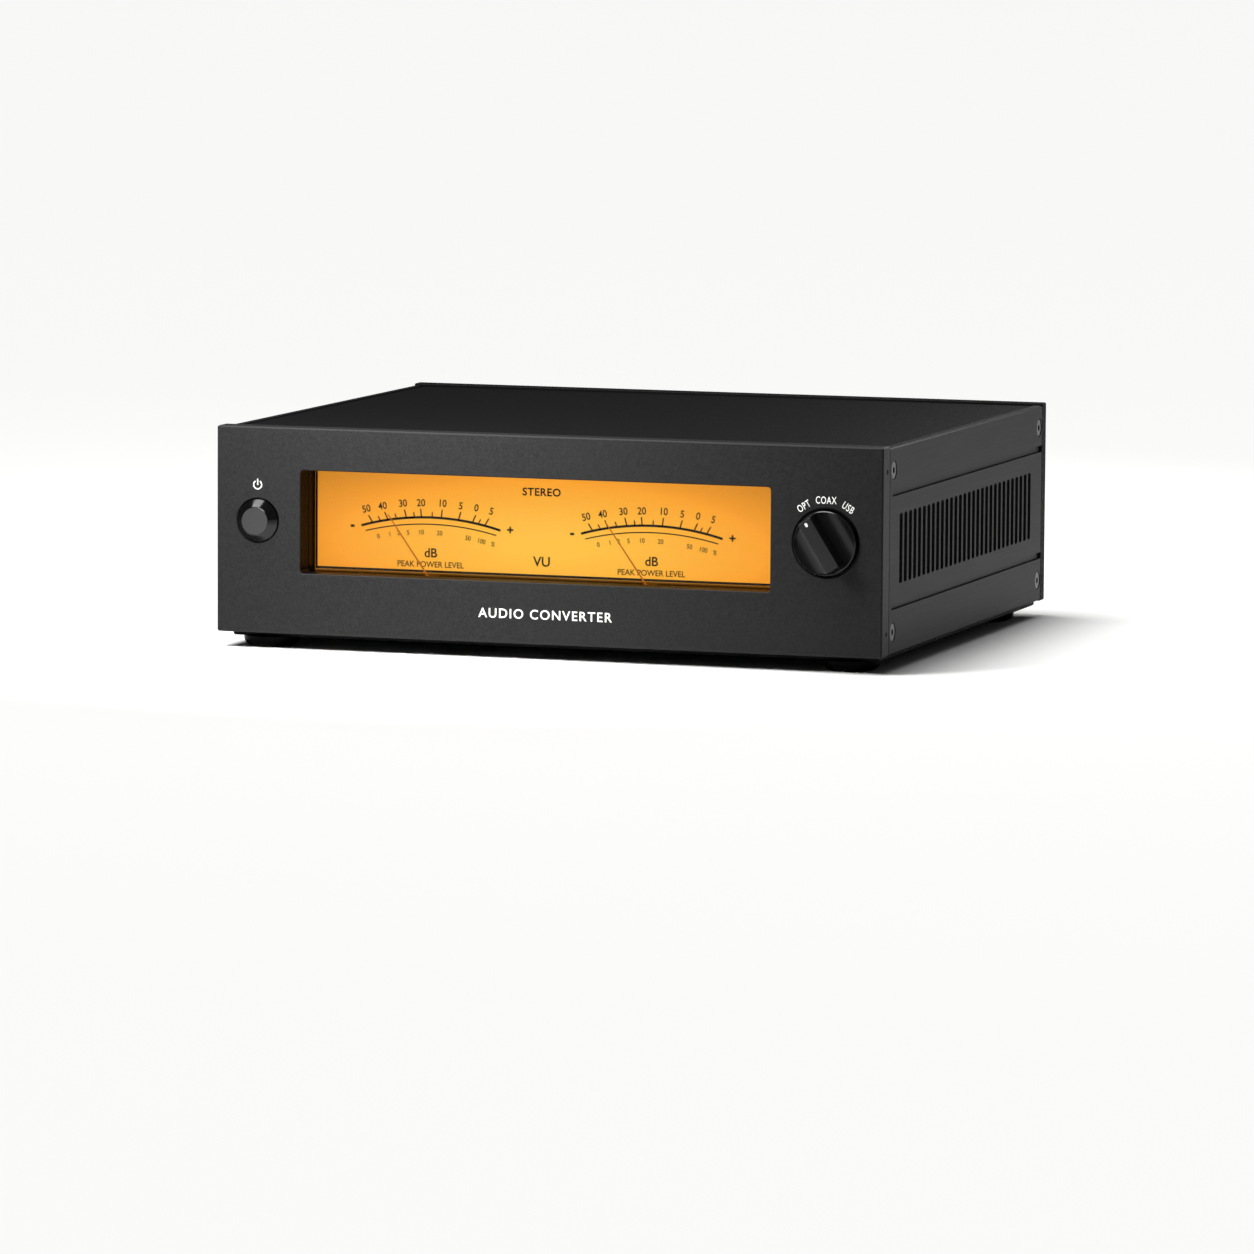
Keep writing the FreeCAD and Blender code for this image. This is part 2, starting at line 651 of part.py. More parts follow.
def needle(name, x):
    """A tapered pointer and its balance tail on a hub, with the arbor and its coil behind."""
    y = (behind(NEEDLE_DEPTH), behind(NEEDLE_DEPTH) + NEEDLE_THICK)
    root, tip = NEEDLE_ROOT_HALF, NEEDLE_TIP_HALF
    outline = [(-root, 0.0), (-tip, NEEDLE_LENGTH), (tip, NEEDLE_LENGTH), (root, 0.0)]
    points = [FreeCAD.Vector(x + px, y[0], METER_PIVOT_Z + pz) for px, pz in outline]
    blade = Part.Face(Part.makePolygon(points + points[:1]))
    blade = blade.extrude(FreeCAD.Vector(0, NEEDLE_THICK, 0))
    tail = block((x - 0.4, x + 0.4), y, (METER_PIVOT_Z - NEEDLE_TAIL, METER_PIVOT_Z))
    hub = rod_y(x, METER_PIVOT_Z, 1.0, (y[0] - 0.3, y[0] + 1.0))
    arbor = rod_y(x, METER_PIVOT_Z, ARBOR_R, (y[0], behind(METER_BACK - 2.5)))
    coil_y = (behind(LAMP_BOARD_DEPTH + 5.0), behind(METER_BACK - 3.0))
    coil = around(x, METER_PIVOT_Z, 14.0, 2.0, coil_y)
    hollow = around(x, METER_PIVOT_Z, 11.2, 4.0, (coil_y[0] + 1.2, coil_y[1] - 1.2))
    pointer = fuse(cut(coil, hollow), arbor, hub, blade, tail)
    save(name, turn_about_y(pointer, x, METER_PIVOT_Z, NEEDLE_REST_ANGLE))


# ---- the power button ---------------------------------------------------------------

def power_button():
    """A push cap: a wide bevel round a flat face, with a flange that stops it in the panel."""
    bevel_start = -0.2
    base = FreeCAD.Vector(BUTTON_X, behind(bevel_start), BUTTON_Z)
    face = FreeCAD.Vector(BUTTON_X, behind(-BUTTON_PROUD), BUTTON_Z)
    bevel = cone(base, face, BUTTON_R, BUTTON_FACE_R)
    face_rim = edges_in_plane_y(bevel, behind(-BUTTON_PROUD))
    bevel = bevel.makeFillet(0.35, face_rim)
    stem = rod_y(BUTTON_X, BUTTON_Z, BUTTON_R, (behind(bevel_start), behind(PANEL_THICK)))
    flange_back = behind(PANEL_THICK + 1.7)
    flange = rod_y(BUTTON_X, BUTTON_Z, FLANGE_R, (behind(PANEL_THICK), flange_back))
    pusher = rod_y(BUTTON_X, BUTTON_Z, PUSHER_R, (flange_back, behind(SWITCH_DEPTH + 0.7)))
    save("power_button", fuse(bevel, stem, flange, pusher))


def button_parts():
    """The guide round the power button's flange, and the switch and board behind it."""
    board_depth = SWITCH_DEPTH + 3.5
    guide_y = (behind(PANEL_THICK), behind(board_depth))
    guide = cut(
        rod_y(BUTTON_X, BUTTON_Z, FLANGE_R + 1.2, guide_y),
        rod_y(BUTTON_X, BUTTON_Z, FLANGE_R + 0.4, grown(guide_y, 1)),
    )
    save("button_guide", guide)
    switch = around(BUTTON_X, BUTTON_Z, 6.0, 6.0, (behind(SWITCH_DEPTH), behind(board_depth)))
    bore_y = (behind(SWITCH_DEPTH - 1), behind(SWITCH_DEPTH + 0.7 + BUTTON_TRAVEL + 0.4))
    save("power_switch", cut(switch, rod_y(BUTTON_X, BUTTON_Z, PUSHER_R + 0.35, bore_y)))
    board_y = (behind(board_depth), behind(board_depth + BOARD_THICK))
    save("button_board", around(BUTTON_X, BUTTON_Z, 22.0, 30.0, board_y))


# ---- the input selector -------------------------------------------------------------

def grip():
    """The knob's upright bar, with ends that lean outwards towards its foot."""
    foot = GRIP_FOOT_LENGTH / 2
    top = GRIP_TOP_LENGTH / 2
    foot_y = behind(0.0)
    top_y = behind(-KNOB_PROUD)
    outline = [(foot_y, -foot), (top_y, -top), (top_y, top), (foot_y, foot)]
    points = [FreeCAD.Vector(KNOB_X - GRIP_WIDTH / 2, y, KNOB_Z + z) for y, z in outline]
    bar = Part.Face(Part.makePolygon(points + points[:1]))
    bar = bar.extrude(FreeCAD.Vector(GRIP_WIDTH, 0, 0))
    return bar.makeFillet(0.3, edges_in_plane_y(bar, top_y))


def scoops():
    """The two hollows ground into the disc beside the grip, to be cut away."""
    rim_y = behind(-KNOB_DISC_PROUD)
    half_chord = (KNOB_DISC_R - GRIP_WIDTH / 2) / 2
    radius = (half_chord**2 + SCOOP_DEEP**2) / (2 * SCOOP_DEEP)
    zone_y = (rim_y - 1, rim_y + 3)
    inside_rim = rod_y(KNOB_X, KNOB_Z, KNOB_DISC_R - 0.35, zone_y)
    pieces = []
    for side in (-1, 1):
        middle = KNOB_X + side * (GRIP_WIDTH / 2 + half_chord)
        bar = rod_z(middle, rim_y - radius + SCOOP_DEEP, radius, grown((KNOB_Z, KNOB_Z), 15))
        ends = sorted((KNOB_X + side * GRIP_WIDTH / 2, KNOB_X + side * 12.0))
        pieces.append(bar.common(block(ends, zone_y, grown((KNOB_Z, KNOB_Z), 15))).common(inside_rim))
    return pieces


def selector_knob():
    """A disc in the panel's recess with a tall grip bar between two hollowed flanks."""
    rim_y = behind(-KNOB_DISC_PROUD)
    disc = rod_y(KNOB_X, KNOB_Z, KNOB_DISC_R, (rim_y, behind(2.2)))
    disc = disc.makeChamfer(0.25, edges_in_plane_y(disc, rim_y))
    hub = rod_y(KNOB_X, KNOB_Z, 6.0, (behind(2.2), behind(4.6)))
    knob = fuse(cut(disc, scoops()), hub, grip())
    bore = rod_y(KNOB_X, KNOB_Z, SPIGOT_R, (behind(-5.0), behind(5.0)))
    pointer_z = KNOB_Z + POINTER_RADIUS
    top_y = behind(-KNOB_PROUD)
    pocket = rod_y(KNOB_X, pointer_z, POINTER_R, (top_y - 1, top_y + 0.6))
    knob = cut(knob, bore, pocket)
    save("selector_knob", turn_about_y(knob, KNOB_X, KNOB_Z, KNOB_REST_ANGLE))
    pointer = rod_y(KNOB_X, pointer_z, POINTER_R, (top_y, top_y + 0.6))
    save("knob_pointer", turn_about_y(pointer, KNOB_X, KNOB_Z, KNOB_REST_ANGLE))


def selector_parts():
    """The selector's stepped shaft, its switch and the nut that holds it to the sub-panel."""
    spigot = rod_y(KNOB_X, KNOB_Z, SPIGOT_R, (behind(-5.0), behind(4.6)))
    shaft = rod_y(KNOB_X, KNOB_Z, SHAFT_R, (behind(4.6), behind(20.0)))
    save("selector_shaft", fuse(spigot, shaft))
    body = around(KNOB_X, KNOB_Z, 16.0, 16.0, (behind(SUB_PANEL_BACK), behind(22.0)))
    bushing = rod_y(KNOB_X, KNOB_Z, 4.5, (behind(5.2), behind(SUB_PANEL_BACK)))
    bore = rod_y(KNOB_X, KNOB_Z, SHAFT_R + RUNNING_CLEARANCE, (behind(5.0), behind(20.3)))
    save("selector_switch", cut(fuse(body, bushing), bore))
    nut_y = (behind(6.1), behind(PANEL_THICK))
    centre = FreeCAD.Vector(KNOB_X, nut_y[0], KNOB_Z)
    nut = hex_bar(centre, FreeCAD.Vector(0, 1, 0), 12.0, nut_y[1] - nut_y[0])
    save("selector_nut", cut(nut, rod_y(KNOB_X, KNOB_Z, 4.55, grown(nut_y, 1))))


# ---- boards and supply inside the case ----------------------------------------------

def screw_places(area, inset=4.0):
    """The four screw places of a board."""
    (x0, x1), (y0, y1) = area
    return [(x, y) for x in (x0 + inset, x1 - inset) for y in (y0 + inset, y1 - inset)]


def boards():
    """The three boards on their spacers: main, supply and resistor ladder."""
    layout = (
        ("main_board", MAIN_BOARD, BASE_TOP, BOARD_Z, 3.0),
        ("supply_board", SUPPLY_BOARD, BASE_TOP, BOARD_Z, 3.0),
        ("ladder_board", LADDER_BOARD, BOARD_Z + BOARD_THICK, DECK_Z, 2.6),
    )
    spacers, screws = [], []
    for name, area, foot_z, z, spacer_r in layout:
        top = z + BOARD_THICK
        holes = []
        for x, y in screw_places(area):
            holes.append(rod_z(x, y, CLEARANCE_HOLE_R, (z - 1, top + 1)))
            spacers.append(cut(
                rod_z(x, y, spacer_r, (foot_z, z)),
                rod_z(x, y, THREAD_HOLE_R, (z - 4.2, z + 1)),
            ))
            screws.append(pan_screw(FreeCAD.Vector(x, y, top), (0, 0, -1), 5.4, 2.6, 1.6))
        save(name, cut(block(area[0], area[1], (z, top)), holes))
    save("board_spacers", spacers)
    save("board_screws", screws)


def ladder_resistors():
    """Four rows of small resistors on the upper board."""
    top = DECK_Z + BOARD_THICK
    pieces = []
    for row in range(4):
        for k in range(24):
            x, y = -102.0 + k * 3.1, -38.0 + row * 18.0
            pieces.append(block((x, x + 1.6), (y, y + 3.2), (top, top + 0.8)))
    save("ladder_resistors", pieces)


def audio_chips():
    """The square chips and the small ones on the main board: x, y, width and depth of each."""
    top = BOARD_Z + BOARD_THICK
    layout = (
        (-80, 50, 17, 17),
        (-40, 56, 10, 10),
        (-96, 4, 7, 5),
        (-60, 4, 7, 5),
        (0, 40, 8, 6),
        (16, 40, 8, 6),
    )
    pieces = []
    for x, y, wide, deep in layout:
        pieces.append(block((x, x + wide), (y, y + deep), (top, top + 1.6)))
    save("audio_chips", pieces)


def supply_parts():
    """The four smoothing capacitors and the finned heat sink on the supply board."""
    top = BOARD_Z + BOARD_THICK
    cans = []
    for x in (50.0, 68.0):
        for y in (34.0, 54.0):
            can = rod_z(x, y, 8.0, (top, top + 30.0))
            cans.append(can.makeFillet(0.8, [e for e in can.Edges if e.BoundBox.ZMin > top + 29]))
    save("supply_capacitors", cans)
    fin_y = (26.0, 62.0)
    base = block((84.0, 101.6), fin_y, (top, top + 3.0))
    fins = []
    for k in range(5):
        fins.append(block((84.0 + k * 4.0, 85.6 + k * 4.0), fin_y, (top + 3.0, top + 26.0)))
    save("supply_heat_sink", fuse(base, fins))


def transformer():
    """The ring transformer on its pad, held by a dished washer and one bolt."""
    low, high = TOROID_Z
    outer = rod_z(TOROID_X, TOROID_Y, TOROID_R, TOROID_Z)
    ring = cut(outer, rod_z(TOROID_X, TOROID_Y, TOROID_HOLE_R, grown(TOROID_Z, 1)))
    rims = [e for e in ring.Edges if e.BoundBox.ZLength < 1e-6 and e.Length > 20]
    save("transformer", ring.makeFillet(6.0, rims))
    bolt_hole = rod_z(TOROID_X, TOROID_Y, 3.05, (0, 60))
    save("transformer_pad", cut(rod_z(TOROID_X, TOROID_Y, 31.0, (BASE_TOP, low)), bolt_hole))
    dish_z = (high, high + 1.5)
    dish = cut(rod_z(TOROID_X, TOROID_Y, 26.0, dish_z), bolt_hole)
    head_at = FreeCAD.Vector(TOROID_X, TOROID_Y, dish_z[1])
    head = hex_bar(head_at, FreeCAD.Vector(0, 0, 1), 10.0, 4.0)
    stem = rod_z(TOROID_X, TOROID_Y, 3.0, (BASE_BOTTOM + 0.2, dish_z[1]))
    save("transformer_clamp", dish, fuse(head, stem))


def ribbon_cable():
    """The flat cable from the main board up to the lamp board."""
    thick = 0.8
    lamp_back = behind(LAMP_BOARD_DEPTH + BOARD_THICK)
    board_top = BOARD_Z + BOARD_THICK
    board_y = -52.0
    top_z = up(29.0)
    path = [
        (board_y, board_top),
        (board_y, board_top + 6.0),
        (lamp_back + 5.0, top_z),
        (lamp_back, top_z),
        (lamp_back, top_z + thick),
        (lamp_back + 5.0 + thick, top_z + thick),
        (board_y + thick, board_top + 6.0 + thick * 0.6),
        (board_y + thick, board_top),
    ]
    points = [FreeCAD.Vector(-20.0, y, z) for y, z in path]
    strip = Part.Face(Part.makePolygon(points + points[:1]))
    save("ribbon_cable", strip.extrude(FreeCAD.Vector(18.0, 0, 0)))


# ---- sockets and mains switch on the back -------------------------------------------

def mains_inlet():
    """A three-pole appliance inlet with a screwed flange and a keyed well."""
    flange = rounded_prism(
        (INLET_X - 25.0, INLET_X + 25.0), (INLET_Z - 12.0, INLET_Z + 12.0), 5.0, (BACK, BACK + 2.5)
    )
    body = around(INLET_X, INLET_Z, 27.0, 19.5, (BACK - 20.0, BACK))
    well_y = (BACK - 14.0, BACK + 3.5)
    well = around(INLET_X, INLET_Z, 24.4, 16.4, well_y)
    keyed = [e for e in well.Edges if e.BoundBox.YLength > 10 and e.BoundBox.ZMin > INLET_Z]
    well = well.makeChamfer(3.6, keyed)
    screws = []
    for side in (-1, 1):
        screws.append(rod_y(INLET_X + side * 20.0, INLET_Z, THREAD_HOLE_R, (BACK - 1, BACK + 3)))
    slots = [around(x, z, 2.0, 4.0, (BACK - 18.0, BACK - 13.0)) for x, z in BLADES]
    save("mains_inlet", cut(fuse(flange, body), well, screws, slots))
    save("inlet_blades", [around(x, z, 2.0, 4.0, (BACK - 18.0, BACK - 3.0)) for x, z in BLADES])


BLADES = (
    (INLET_X - 7.0, INLET_Z - 2.0),
    (INLET_X, INLET_Z + 2.0),
    (INLET_X + 7.0, INLET_Z - 2.0),
)


def mains_rocker():
    """The mains switch: a housing and a two-faced rocker turning on its middle."""
    bezel = rounded_prism(
        (ROCKER_X - 7.5, ROCKER_X + 7.5), (ROCKER_Z - 10.8, ROCKER_Z + 10.8), 1.2, (BACK, BACK + 1.6)
    )
    body = around(ROCKER_X, ROCKER_Z, 13.0, 19.0, (BACK - 16.0, BACK))
    well = around(ROCKER_X, ROCKER_Z, 11.2, 17.4, (BACK - 9.0, BACK + 3))
    hole_x = grown((ROCKER_X, ROCKER_X), 6.2)
    pin_hole = rod_x(ROCKER_PIN_Y, ROCKER_Z, 1.0 + RUNNING_CLEARANCE, hole_x)
    save("rocker_housing", cut(fuse(bezel, body), well, pin_hole))
    outline = [(-5.2, -3.0), (-5.2, 3.0), (0.4, 8.0), (4.8, 7.6), (2.0, 0.0), (4.8, -7.6), (0.4, -8.0)]
    points = []
    for y, z in outline:
        points.append(FreeCAD.Vector(ROCKER_X - 5.2, ROCKER_PIN_Y + y, ROCKER_Z + z))
    paddle = Part.Face(Part.makePolygon(points + points[:1]))
    paddle = paddle.extrude(FreeCAD.Vector(10.4, 0, 0))
    pin = rod_x(ROCKER_PIN_Y, ROCKER_Z, 1.0, grown((ROCKER_X, ROCKER_X), 6.0))
    rocker = fuse(paddle, pin)
    pivot = FreeCAD.Vector(0, ROCKER_PIN_Y, ROCKER_Z)
    rocker.rotate(pivot, FreeCAD.Vector(1, 0, 0), ROCKER_TILT)
    save("mains_rocker", rocker)


def xlr_outputs():
    """Two three-pin line sockets: flanged shell, deep well and round contacts."""
    shells, contacts = [], []
    for x in XLR_X:
        flange_x, flange_z = grown((x, x), 13.0), grown((XLR_Z, XLR_Z), 15.5)
        flange = rounded_prism(flange_x, flange_z, 2.5, (BACK, BACK + 1.8))
        barrel = rod_y(x, XLR_Z, 11.8, (BACK - 18.0, BACK))
        lip = rod_y(x, XLR_Z, 11.0, (BACK, BACK + 3.0))
        tools = [rod_y(x, XLR_Z, 9.6, (BACK - 12.0, BACK + 4.0))]
        for screw_x, screw_z in xlr_screw_places(x):
            tools.append(rod_y(screw_x, screw_z, THREAD_HOLE_R, (BACK - 1, BACK + 3)))
        for angle in (30, 150, 270):
            pin_x = x + 4.6 * math.cos(math.radians(angle))
            pin_z = XLR_Z + 4.6 * math.sin(math.radians(angle))
            tools.append(rod_y(pin_x, pin_z, 1.25, (BACK - 17.0, BACK - 11.0)))
            pin = rod_y(pin_x, pin_z, 1.2, (BACK - 17.0, BACK - 1.0))
            contacts.append(pin.makeFillet(0.6, edges_in_plane_y(pin, BACK - 1.0)))
        shells.append(cut(fuse(flange, barrel, lip), tools))
    save("xlr_sockets", shells)
    save("xlr_contacts", contacts)


def phono_jacks():
    """The two line outputs and the coaxial input: metal shells round insulating cores."""
    shells, insulators = [], []
    tip = BACK + JACK_PROUD
    for x, z in JACK_PLACES:
        outer = rod_y(x, z, JACK_R, (BACK - 8.0, tip))
        outer = outer.makeChamfer(0.4, edges_in_plane_y(outer, tip))
        collar = rod_y(x, z, 5.6, (BACK + 0.8, BACK + 2.4))
        shells.append(cut(fuse(outer, collar), rod_y(x, z, 3.4, (BACK - 9, tip + 1))))
        core = rod_y(x, z, 3.35, (BACK - 8.0, tip - 0.5))
        insulators.append(cut(core, rod_y(x, z, 1.6, (BACK - 4.0, tip + 1))))
        washer = rod_y(x, z, 6.4, (BACK, BACK + 0.8))
        insulators.append(cut(washer, rod_y(x, z, JACK_R + 0.05, (BACK - 1, BACK + 2))))
    save("phono_jacks", shells)
    save("jack_insulators", insulators)


def optical_input():
    """The square optical socket and the sprung shutter in its mouth."""
    half = 6.5
    flange = around(OPTICAL_X, OPTICAL_Z, 14.6, 14.6, (BACK, BACK + 0.8))
    body = around(OPTICAL_X, OPTICAL_Z, 2 * half, 2 * half, (BACK - 18.0, BACK))
    well = around(OPTICAL_X, OPTICAL_Z, 9.8, 9.8, (BACK - 15.0, BACK + 2))
    pin_z = OPTICAL_Z + 4.2
    pin_y = BACK - 1.2
    pin_r = 0.45
    hole_x = grown((OPTICAL_X, OPTICAL_X), 5.9)
    pin_hole = rod_x(pin_y, pin_z, pin_r + RUNNING_CLEARANCE, hole_x)
    save("optical_socket", cut(fuse(flange, body), well, pin_hole))
    leaf = around(OPTICAL_X, OPTICAL_Z - 0.15, 9.2, 9.1, (pin_y - 0.35, pin_y + 0.35))
    pin = rod_x(pin_y, pin_z, pin_r, grown((OPTICAL_X, OPTICAL_X), 5.7))
    save("optical_shutter", fuse(leaf, pin))


def usb_socket():
    """The square data socket with its tongue."""
    shell = around(USB_X, USB_Z, 12.0, 11.0, (BACK - 16.0, BACK + 0.8))
    well = around(USB_X, USB_Z, 8.6, 7.9, (BACK - 9.5, BACK + 2))
    keyed = [e for e in well.Edges if e.BoundBox.YLength > 8 and e.BoundBox.ZMin > USB_Z]
    well = well.makeChamfer(1.6, keyed)
    tongue = around(USB_X, USB_Z - 0.3, 5.6, 3.2, (BACK - 9.6, BACK - 0.8))
    save("usb_socket", fuse(cut(shell, well), tongue))


# ---- everything ---------------------------------------------------------------------

os.makedirs(PARTS, exist_ok=True)

front_panel()
panel_set_screws()
sub_panel()
panel_screws()
corner_blocks()
side_panel("side_panel_right", mirrored=False)
side_panel("side_panel_left", mirrored=True)
side_screws()
top_cover()
base_plate()
base_screws()
feet()
rear_panel()
rear_screws()

window_lens()
meter_housing()
dial_plate()
light_guide()
lamp_board()
for side_name, meter_x in zip(("left", "right"), METER_X):
    meter_movement("meter_" + side_name, meter_x)
    needle("needle_" + side_name, meter_x)

power_button()
button_parts()
selector_knob()
selector_parts()

boards()
ladder_resistors()
audio_chips()
supply_parts()
transformer()
ribbon_cable()

mains_inlet()
mains_rocker()
xlr_outputs()
phono_jacks()
optical_input()
usb_socket()
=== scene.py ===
# %% [markdown]
# # A desktop audio converter with two lit needle meters
#
# The real object is a small black aluminium box. A thick front plate carries a push button,
# a wide window with two needle meters behind it, and a rotary input selector. The sides are
# slotted extrusions, the lid and the bottom are coated sheet, and the back is a shallow pan
# full of sockets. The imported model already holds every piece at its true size, so this
# script never moves or resizes one. It adds what the model lacks: finishes, print, light,
# and finer versions of the pieces that the eye rests on.

import math

import bmesh
import bpy
from mathutils import Matrix, Vector


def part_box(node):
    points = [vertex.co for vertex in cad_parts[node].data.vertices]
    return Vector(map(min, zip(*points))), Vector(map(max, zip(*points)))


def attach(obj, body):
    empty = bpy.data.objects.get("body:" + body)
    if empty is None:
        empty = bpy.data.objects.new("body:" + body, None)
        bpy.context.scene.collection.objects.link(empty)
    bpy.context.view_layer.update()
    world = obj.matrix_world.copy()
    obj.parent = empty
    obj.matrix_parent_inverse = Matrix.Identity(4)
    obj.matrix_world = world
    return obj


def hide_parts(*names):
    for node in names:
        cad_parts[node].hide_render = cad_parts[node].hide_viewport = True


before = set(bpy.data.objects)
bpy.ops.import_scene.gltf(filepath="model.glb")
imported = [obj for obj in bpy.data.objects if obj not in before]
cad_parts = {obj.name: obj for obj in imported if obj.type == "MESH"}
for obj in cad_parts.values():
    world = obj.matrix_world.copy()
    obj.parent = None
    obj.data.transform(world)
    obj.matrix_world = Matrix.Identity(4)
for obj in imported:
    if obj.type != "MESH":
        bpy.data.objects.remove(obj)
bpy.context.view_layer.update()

# %% [markdown]
# Sizes on the object are in millimetres, and every place on it starts from the frame. A
# point on the front plate is easiest to give as its maker's drawing would: so far right of
# the middle, so far above the lower edge, and so far proud of the face. Only the camera, the
# floor and the lamps are given in metres.

# %% Sizes and places
MM = 0.001
PLATE_LOW, PLATE_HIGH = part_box("front_panel")
DIAL_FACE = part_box("dial_plate")[0].y
REAR_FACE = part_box("rear_panel")[1].y


def middle(name):
    """The centre of a CAD piece's box."""
    low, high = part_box(name)
    return (low + high) / 2


def on_plate(x, z, proud=0.0):
    """A place on the front plate, in millimetres from its middle and its lower edge."""
    return Vector((x * MM, PLATE_LOW.y - proud * MM, PLATE_LOW.z + z * MM))


def on_dial(x, z, proud=0.0):
    """A place on the meters' dial, measured in the same way."""
    return Vector((x * MM, DIAL_FACE - proud * MM, PLATE_LOW.z + z * MM))


KNOB_CENTRE = middle("selector_shaft")
BUTTON_CENTRE = middle("power_button")
print("the plate is", round((PLATE_HIGH - PLATE_LOW).x / MM, 1), "mm wide")

# %% [markdown]
# Colours are written the way a paint chart gives them, as sRGB hex, and one function turns
# them to the linear values that shaders want. One more function adds a node, of a material
# or of Geometry Nodes, with its settings and links.

# %% Colour and node helpers
def linear(code):
    """A hex colour such as "#1F1F1E" as linear red, green and blue, with a full alpha."""
    parts = [int(code[k:k + 2], 16) / 255 for k in (1, 3, 5)]
    return [p / 12.92 if p <= 0.04045 else ((p + 0.055) / 1.055) ** 2.4 for p in parts] + [1.0]


def add(tree, kind, inputs=None, out=0, **settings):
    """Adds a node with its settings and links, and returns one of its outputs.

    A socket among the inputs is linked, and anything else is set as a value. An input or an
    output is given by its name, or by its number among those that the settings leave live.
    """
    made = tree.nodes.new(kind)
    for name, value in settings.items():
        setattr(made, name, value)

    def live(sockets, key):
        shown = [socket for socket in sockets if socket.enabled]
        return shown[key] if isinstance(key, int) else next(s for s in shown if s.name == key)

    for key, value in (inputs or {}).items():
        if isinstance(value, bpy.types.NodeSocket):
            tree.links.new(value, live(made.inputs, key))
        else:
            live(made.inputs, key).default_value = value
    return live(made.outputs, out) if len(made.outputs) else None


def per(size):
    """The texture scale that makes a pattern's features about this many millimetres."""
    return 1.0 / (size * MM)


def material(name, colour, roughness, **sockets):
    """A material with one surface shader. Returns it, its tree and the shader's inputs.

    A pattern may be linked over the plain colour and roughness later.
    """
    made = bpy.data.materials.new(name)
    made.use_nodes = True
    tree = made.node_tree
    tree.nodes.clear()
    shader = add(tree, "ShaderNodeBsdfPrincipled", {"Base Color": linear(colour), "Roughness": roughness})
    add(tree, "ShaderNodeOutputMaterial", {"Surface": shader})
    surface = shader.node.inputs
    for key, value in sockets.items():
        surface[key.replace("_", " ")].default_value = value
    return made, tree, surface


# %% [markdown]
# ## Metals
#
# The front plate is aluminium, blasted with fine beads and then anodised black. Blasting
# gives a dense, even tooth and anodising a dyed glassy skin, so the eye sees a soft grey
# sheen with a faint grain. Real grit is near 0.1 mm, too fine to show from a metre away, so
# the grain here is drawn coarser. The dyed skin hides the metal, so it is shaded as a dark
# body under a weak gloss.
#
# Nearly all of a noise's values lie between 0.3 and 0.7, so a pattern uses its full range
# once that middle part is spread out.

# %% Bead-blasted plate
SPREAD = {"From Min": 0.3, "From Max": 0.7}


def bead_blasted():
    """Fine tooth, and a faint cloudiness where the blasting gun passed."""
    made, tree, surface = material("bead-blasted black anodised aluminium", "#262625", 0.42,
                                   Specular_IOR_Level=0.08)
    place = add(tree, "ShaderNodeTexCoord", out="Object")
    tooth = add(tree, "ShaderNodeTexNoise", {
        "Vector": place, "Scale": per(0.7), "Detail": 4.0, "Roughness": 0.75,
    })
    clouds = add(tree, "ShaderNodeTexNoise", {"Vector": place, "Scale": per(45.0), "Detail": 1.0})
    grain = add(tree, "ShaderNodeMapRange", {"Value": tooth, **SPREAD})
    cloud = add(tree, "ShaderNodeMapRange", {"Value": clouds, **SPREAD, "To Max": 0.35})
    shade = add(tree, "ShaderNodeMix", {0: grain, "A": linear("#161616"), "B": linear("#262626")},
                data_type="RGBA")
    shade = add(tree, "ShaderNodeMix", {0: cloud, "A": shade, "B": linear("#1F1F1F")}, data_type="RGBA")
    sheen = add(tree, "ShaderNodeMapRange", {"Value": tooth, **SPREAD, "To Min": 0.38, "To Max": 0.5})
    relief = add(tree, "ShaderNodeBump", {"Height": tooth, "Distance": 0.03 * MM, "Strength": 0.35})
    tree.links.new(shade, surface["Base Color"])
    tree.links.new(sheen, surface["Roughness"])
    tree.links.new(relief, surface["Normal"])
    return made


PLATE_FINISH = bead_blasted()
print("made", PLATE_FINISH.name)

# %% [markdown]
# The sides are the same metal straight from the extrusion press. The die leaves long faint
# lines from front to back, drawn with a noise that is stretched some eighty times along Y,
# and handling leaves pale specks.

# %% Extruded sides
def extruded():
    """Die lines along Y under a few pale specks."""
    made, tree, surface = material("extruded black anodised aluminium", "#1F1F1F", 0.45,
                                   Specular_IOR_Level=0.08)
    place = add(tree, "ShaderNodeTexCoord", out="Object")
    drawn_out = add(tree, "ShaderNodeMapping", {"Vector": place, "Scale": (1, 0.012, 1)})
    lines = add(tree, "ShaderNodeTexNoise", {"Vector": drawn_out, "Scale": per(0.45), "Detail": 3.0})
    specks = add(tree, "ShaderNodeTexNoise", {"Vector": place, "Scale": per(0.8), "Detail": 3.0})
    line = add(tree, "ShaderNodeMapRange", {"Value": lines, **SPREAD})
    speck = add(tree, "ShaderNodeMapRange", {
        "Value": specks, "From Min": 0.4, "From Max": 0.7, "To Max": 0.5,
    })
    shade = add(tree, "ShaderNodeMix", {0: line, "A": linear("#121212"), "B": linear("#171717")},
                data_type="RGBA")
    shade = add(tree, "ShaderNodeMix", {0: speck, "A": shade, "B": linear("#212121")}, data_type="RGBA")
    sheen = add(tree, "ShaderNodeMapRange", {"Value": lines, **SPREAD, "To Min": 0.43, "To Max": 0.47})
    relief = add(tree, "ShaderNodeBump", {"Height": specks, "Distance": 0.02 * MM, "Strength": 0.3})
    tree.links.new(shade, surface["Base Color"])
    tree.links.new(sheen, surface["Roughness"])
    tree.links.new(relief, surface["Normal"])
    return made


SIDE_FINISH = extruded()
print("made", SIDE_FINISH.name)
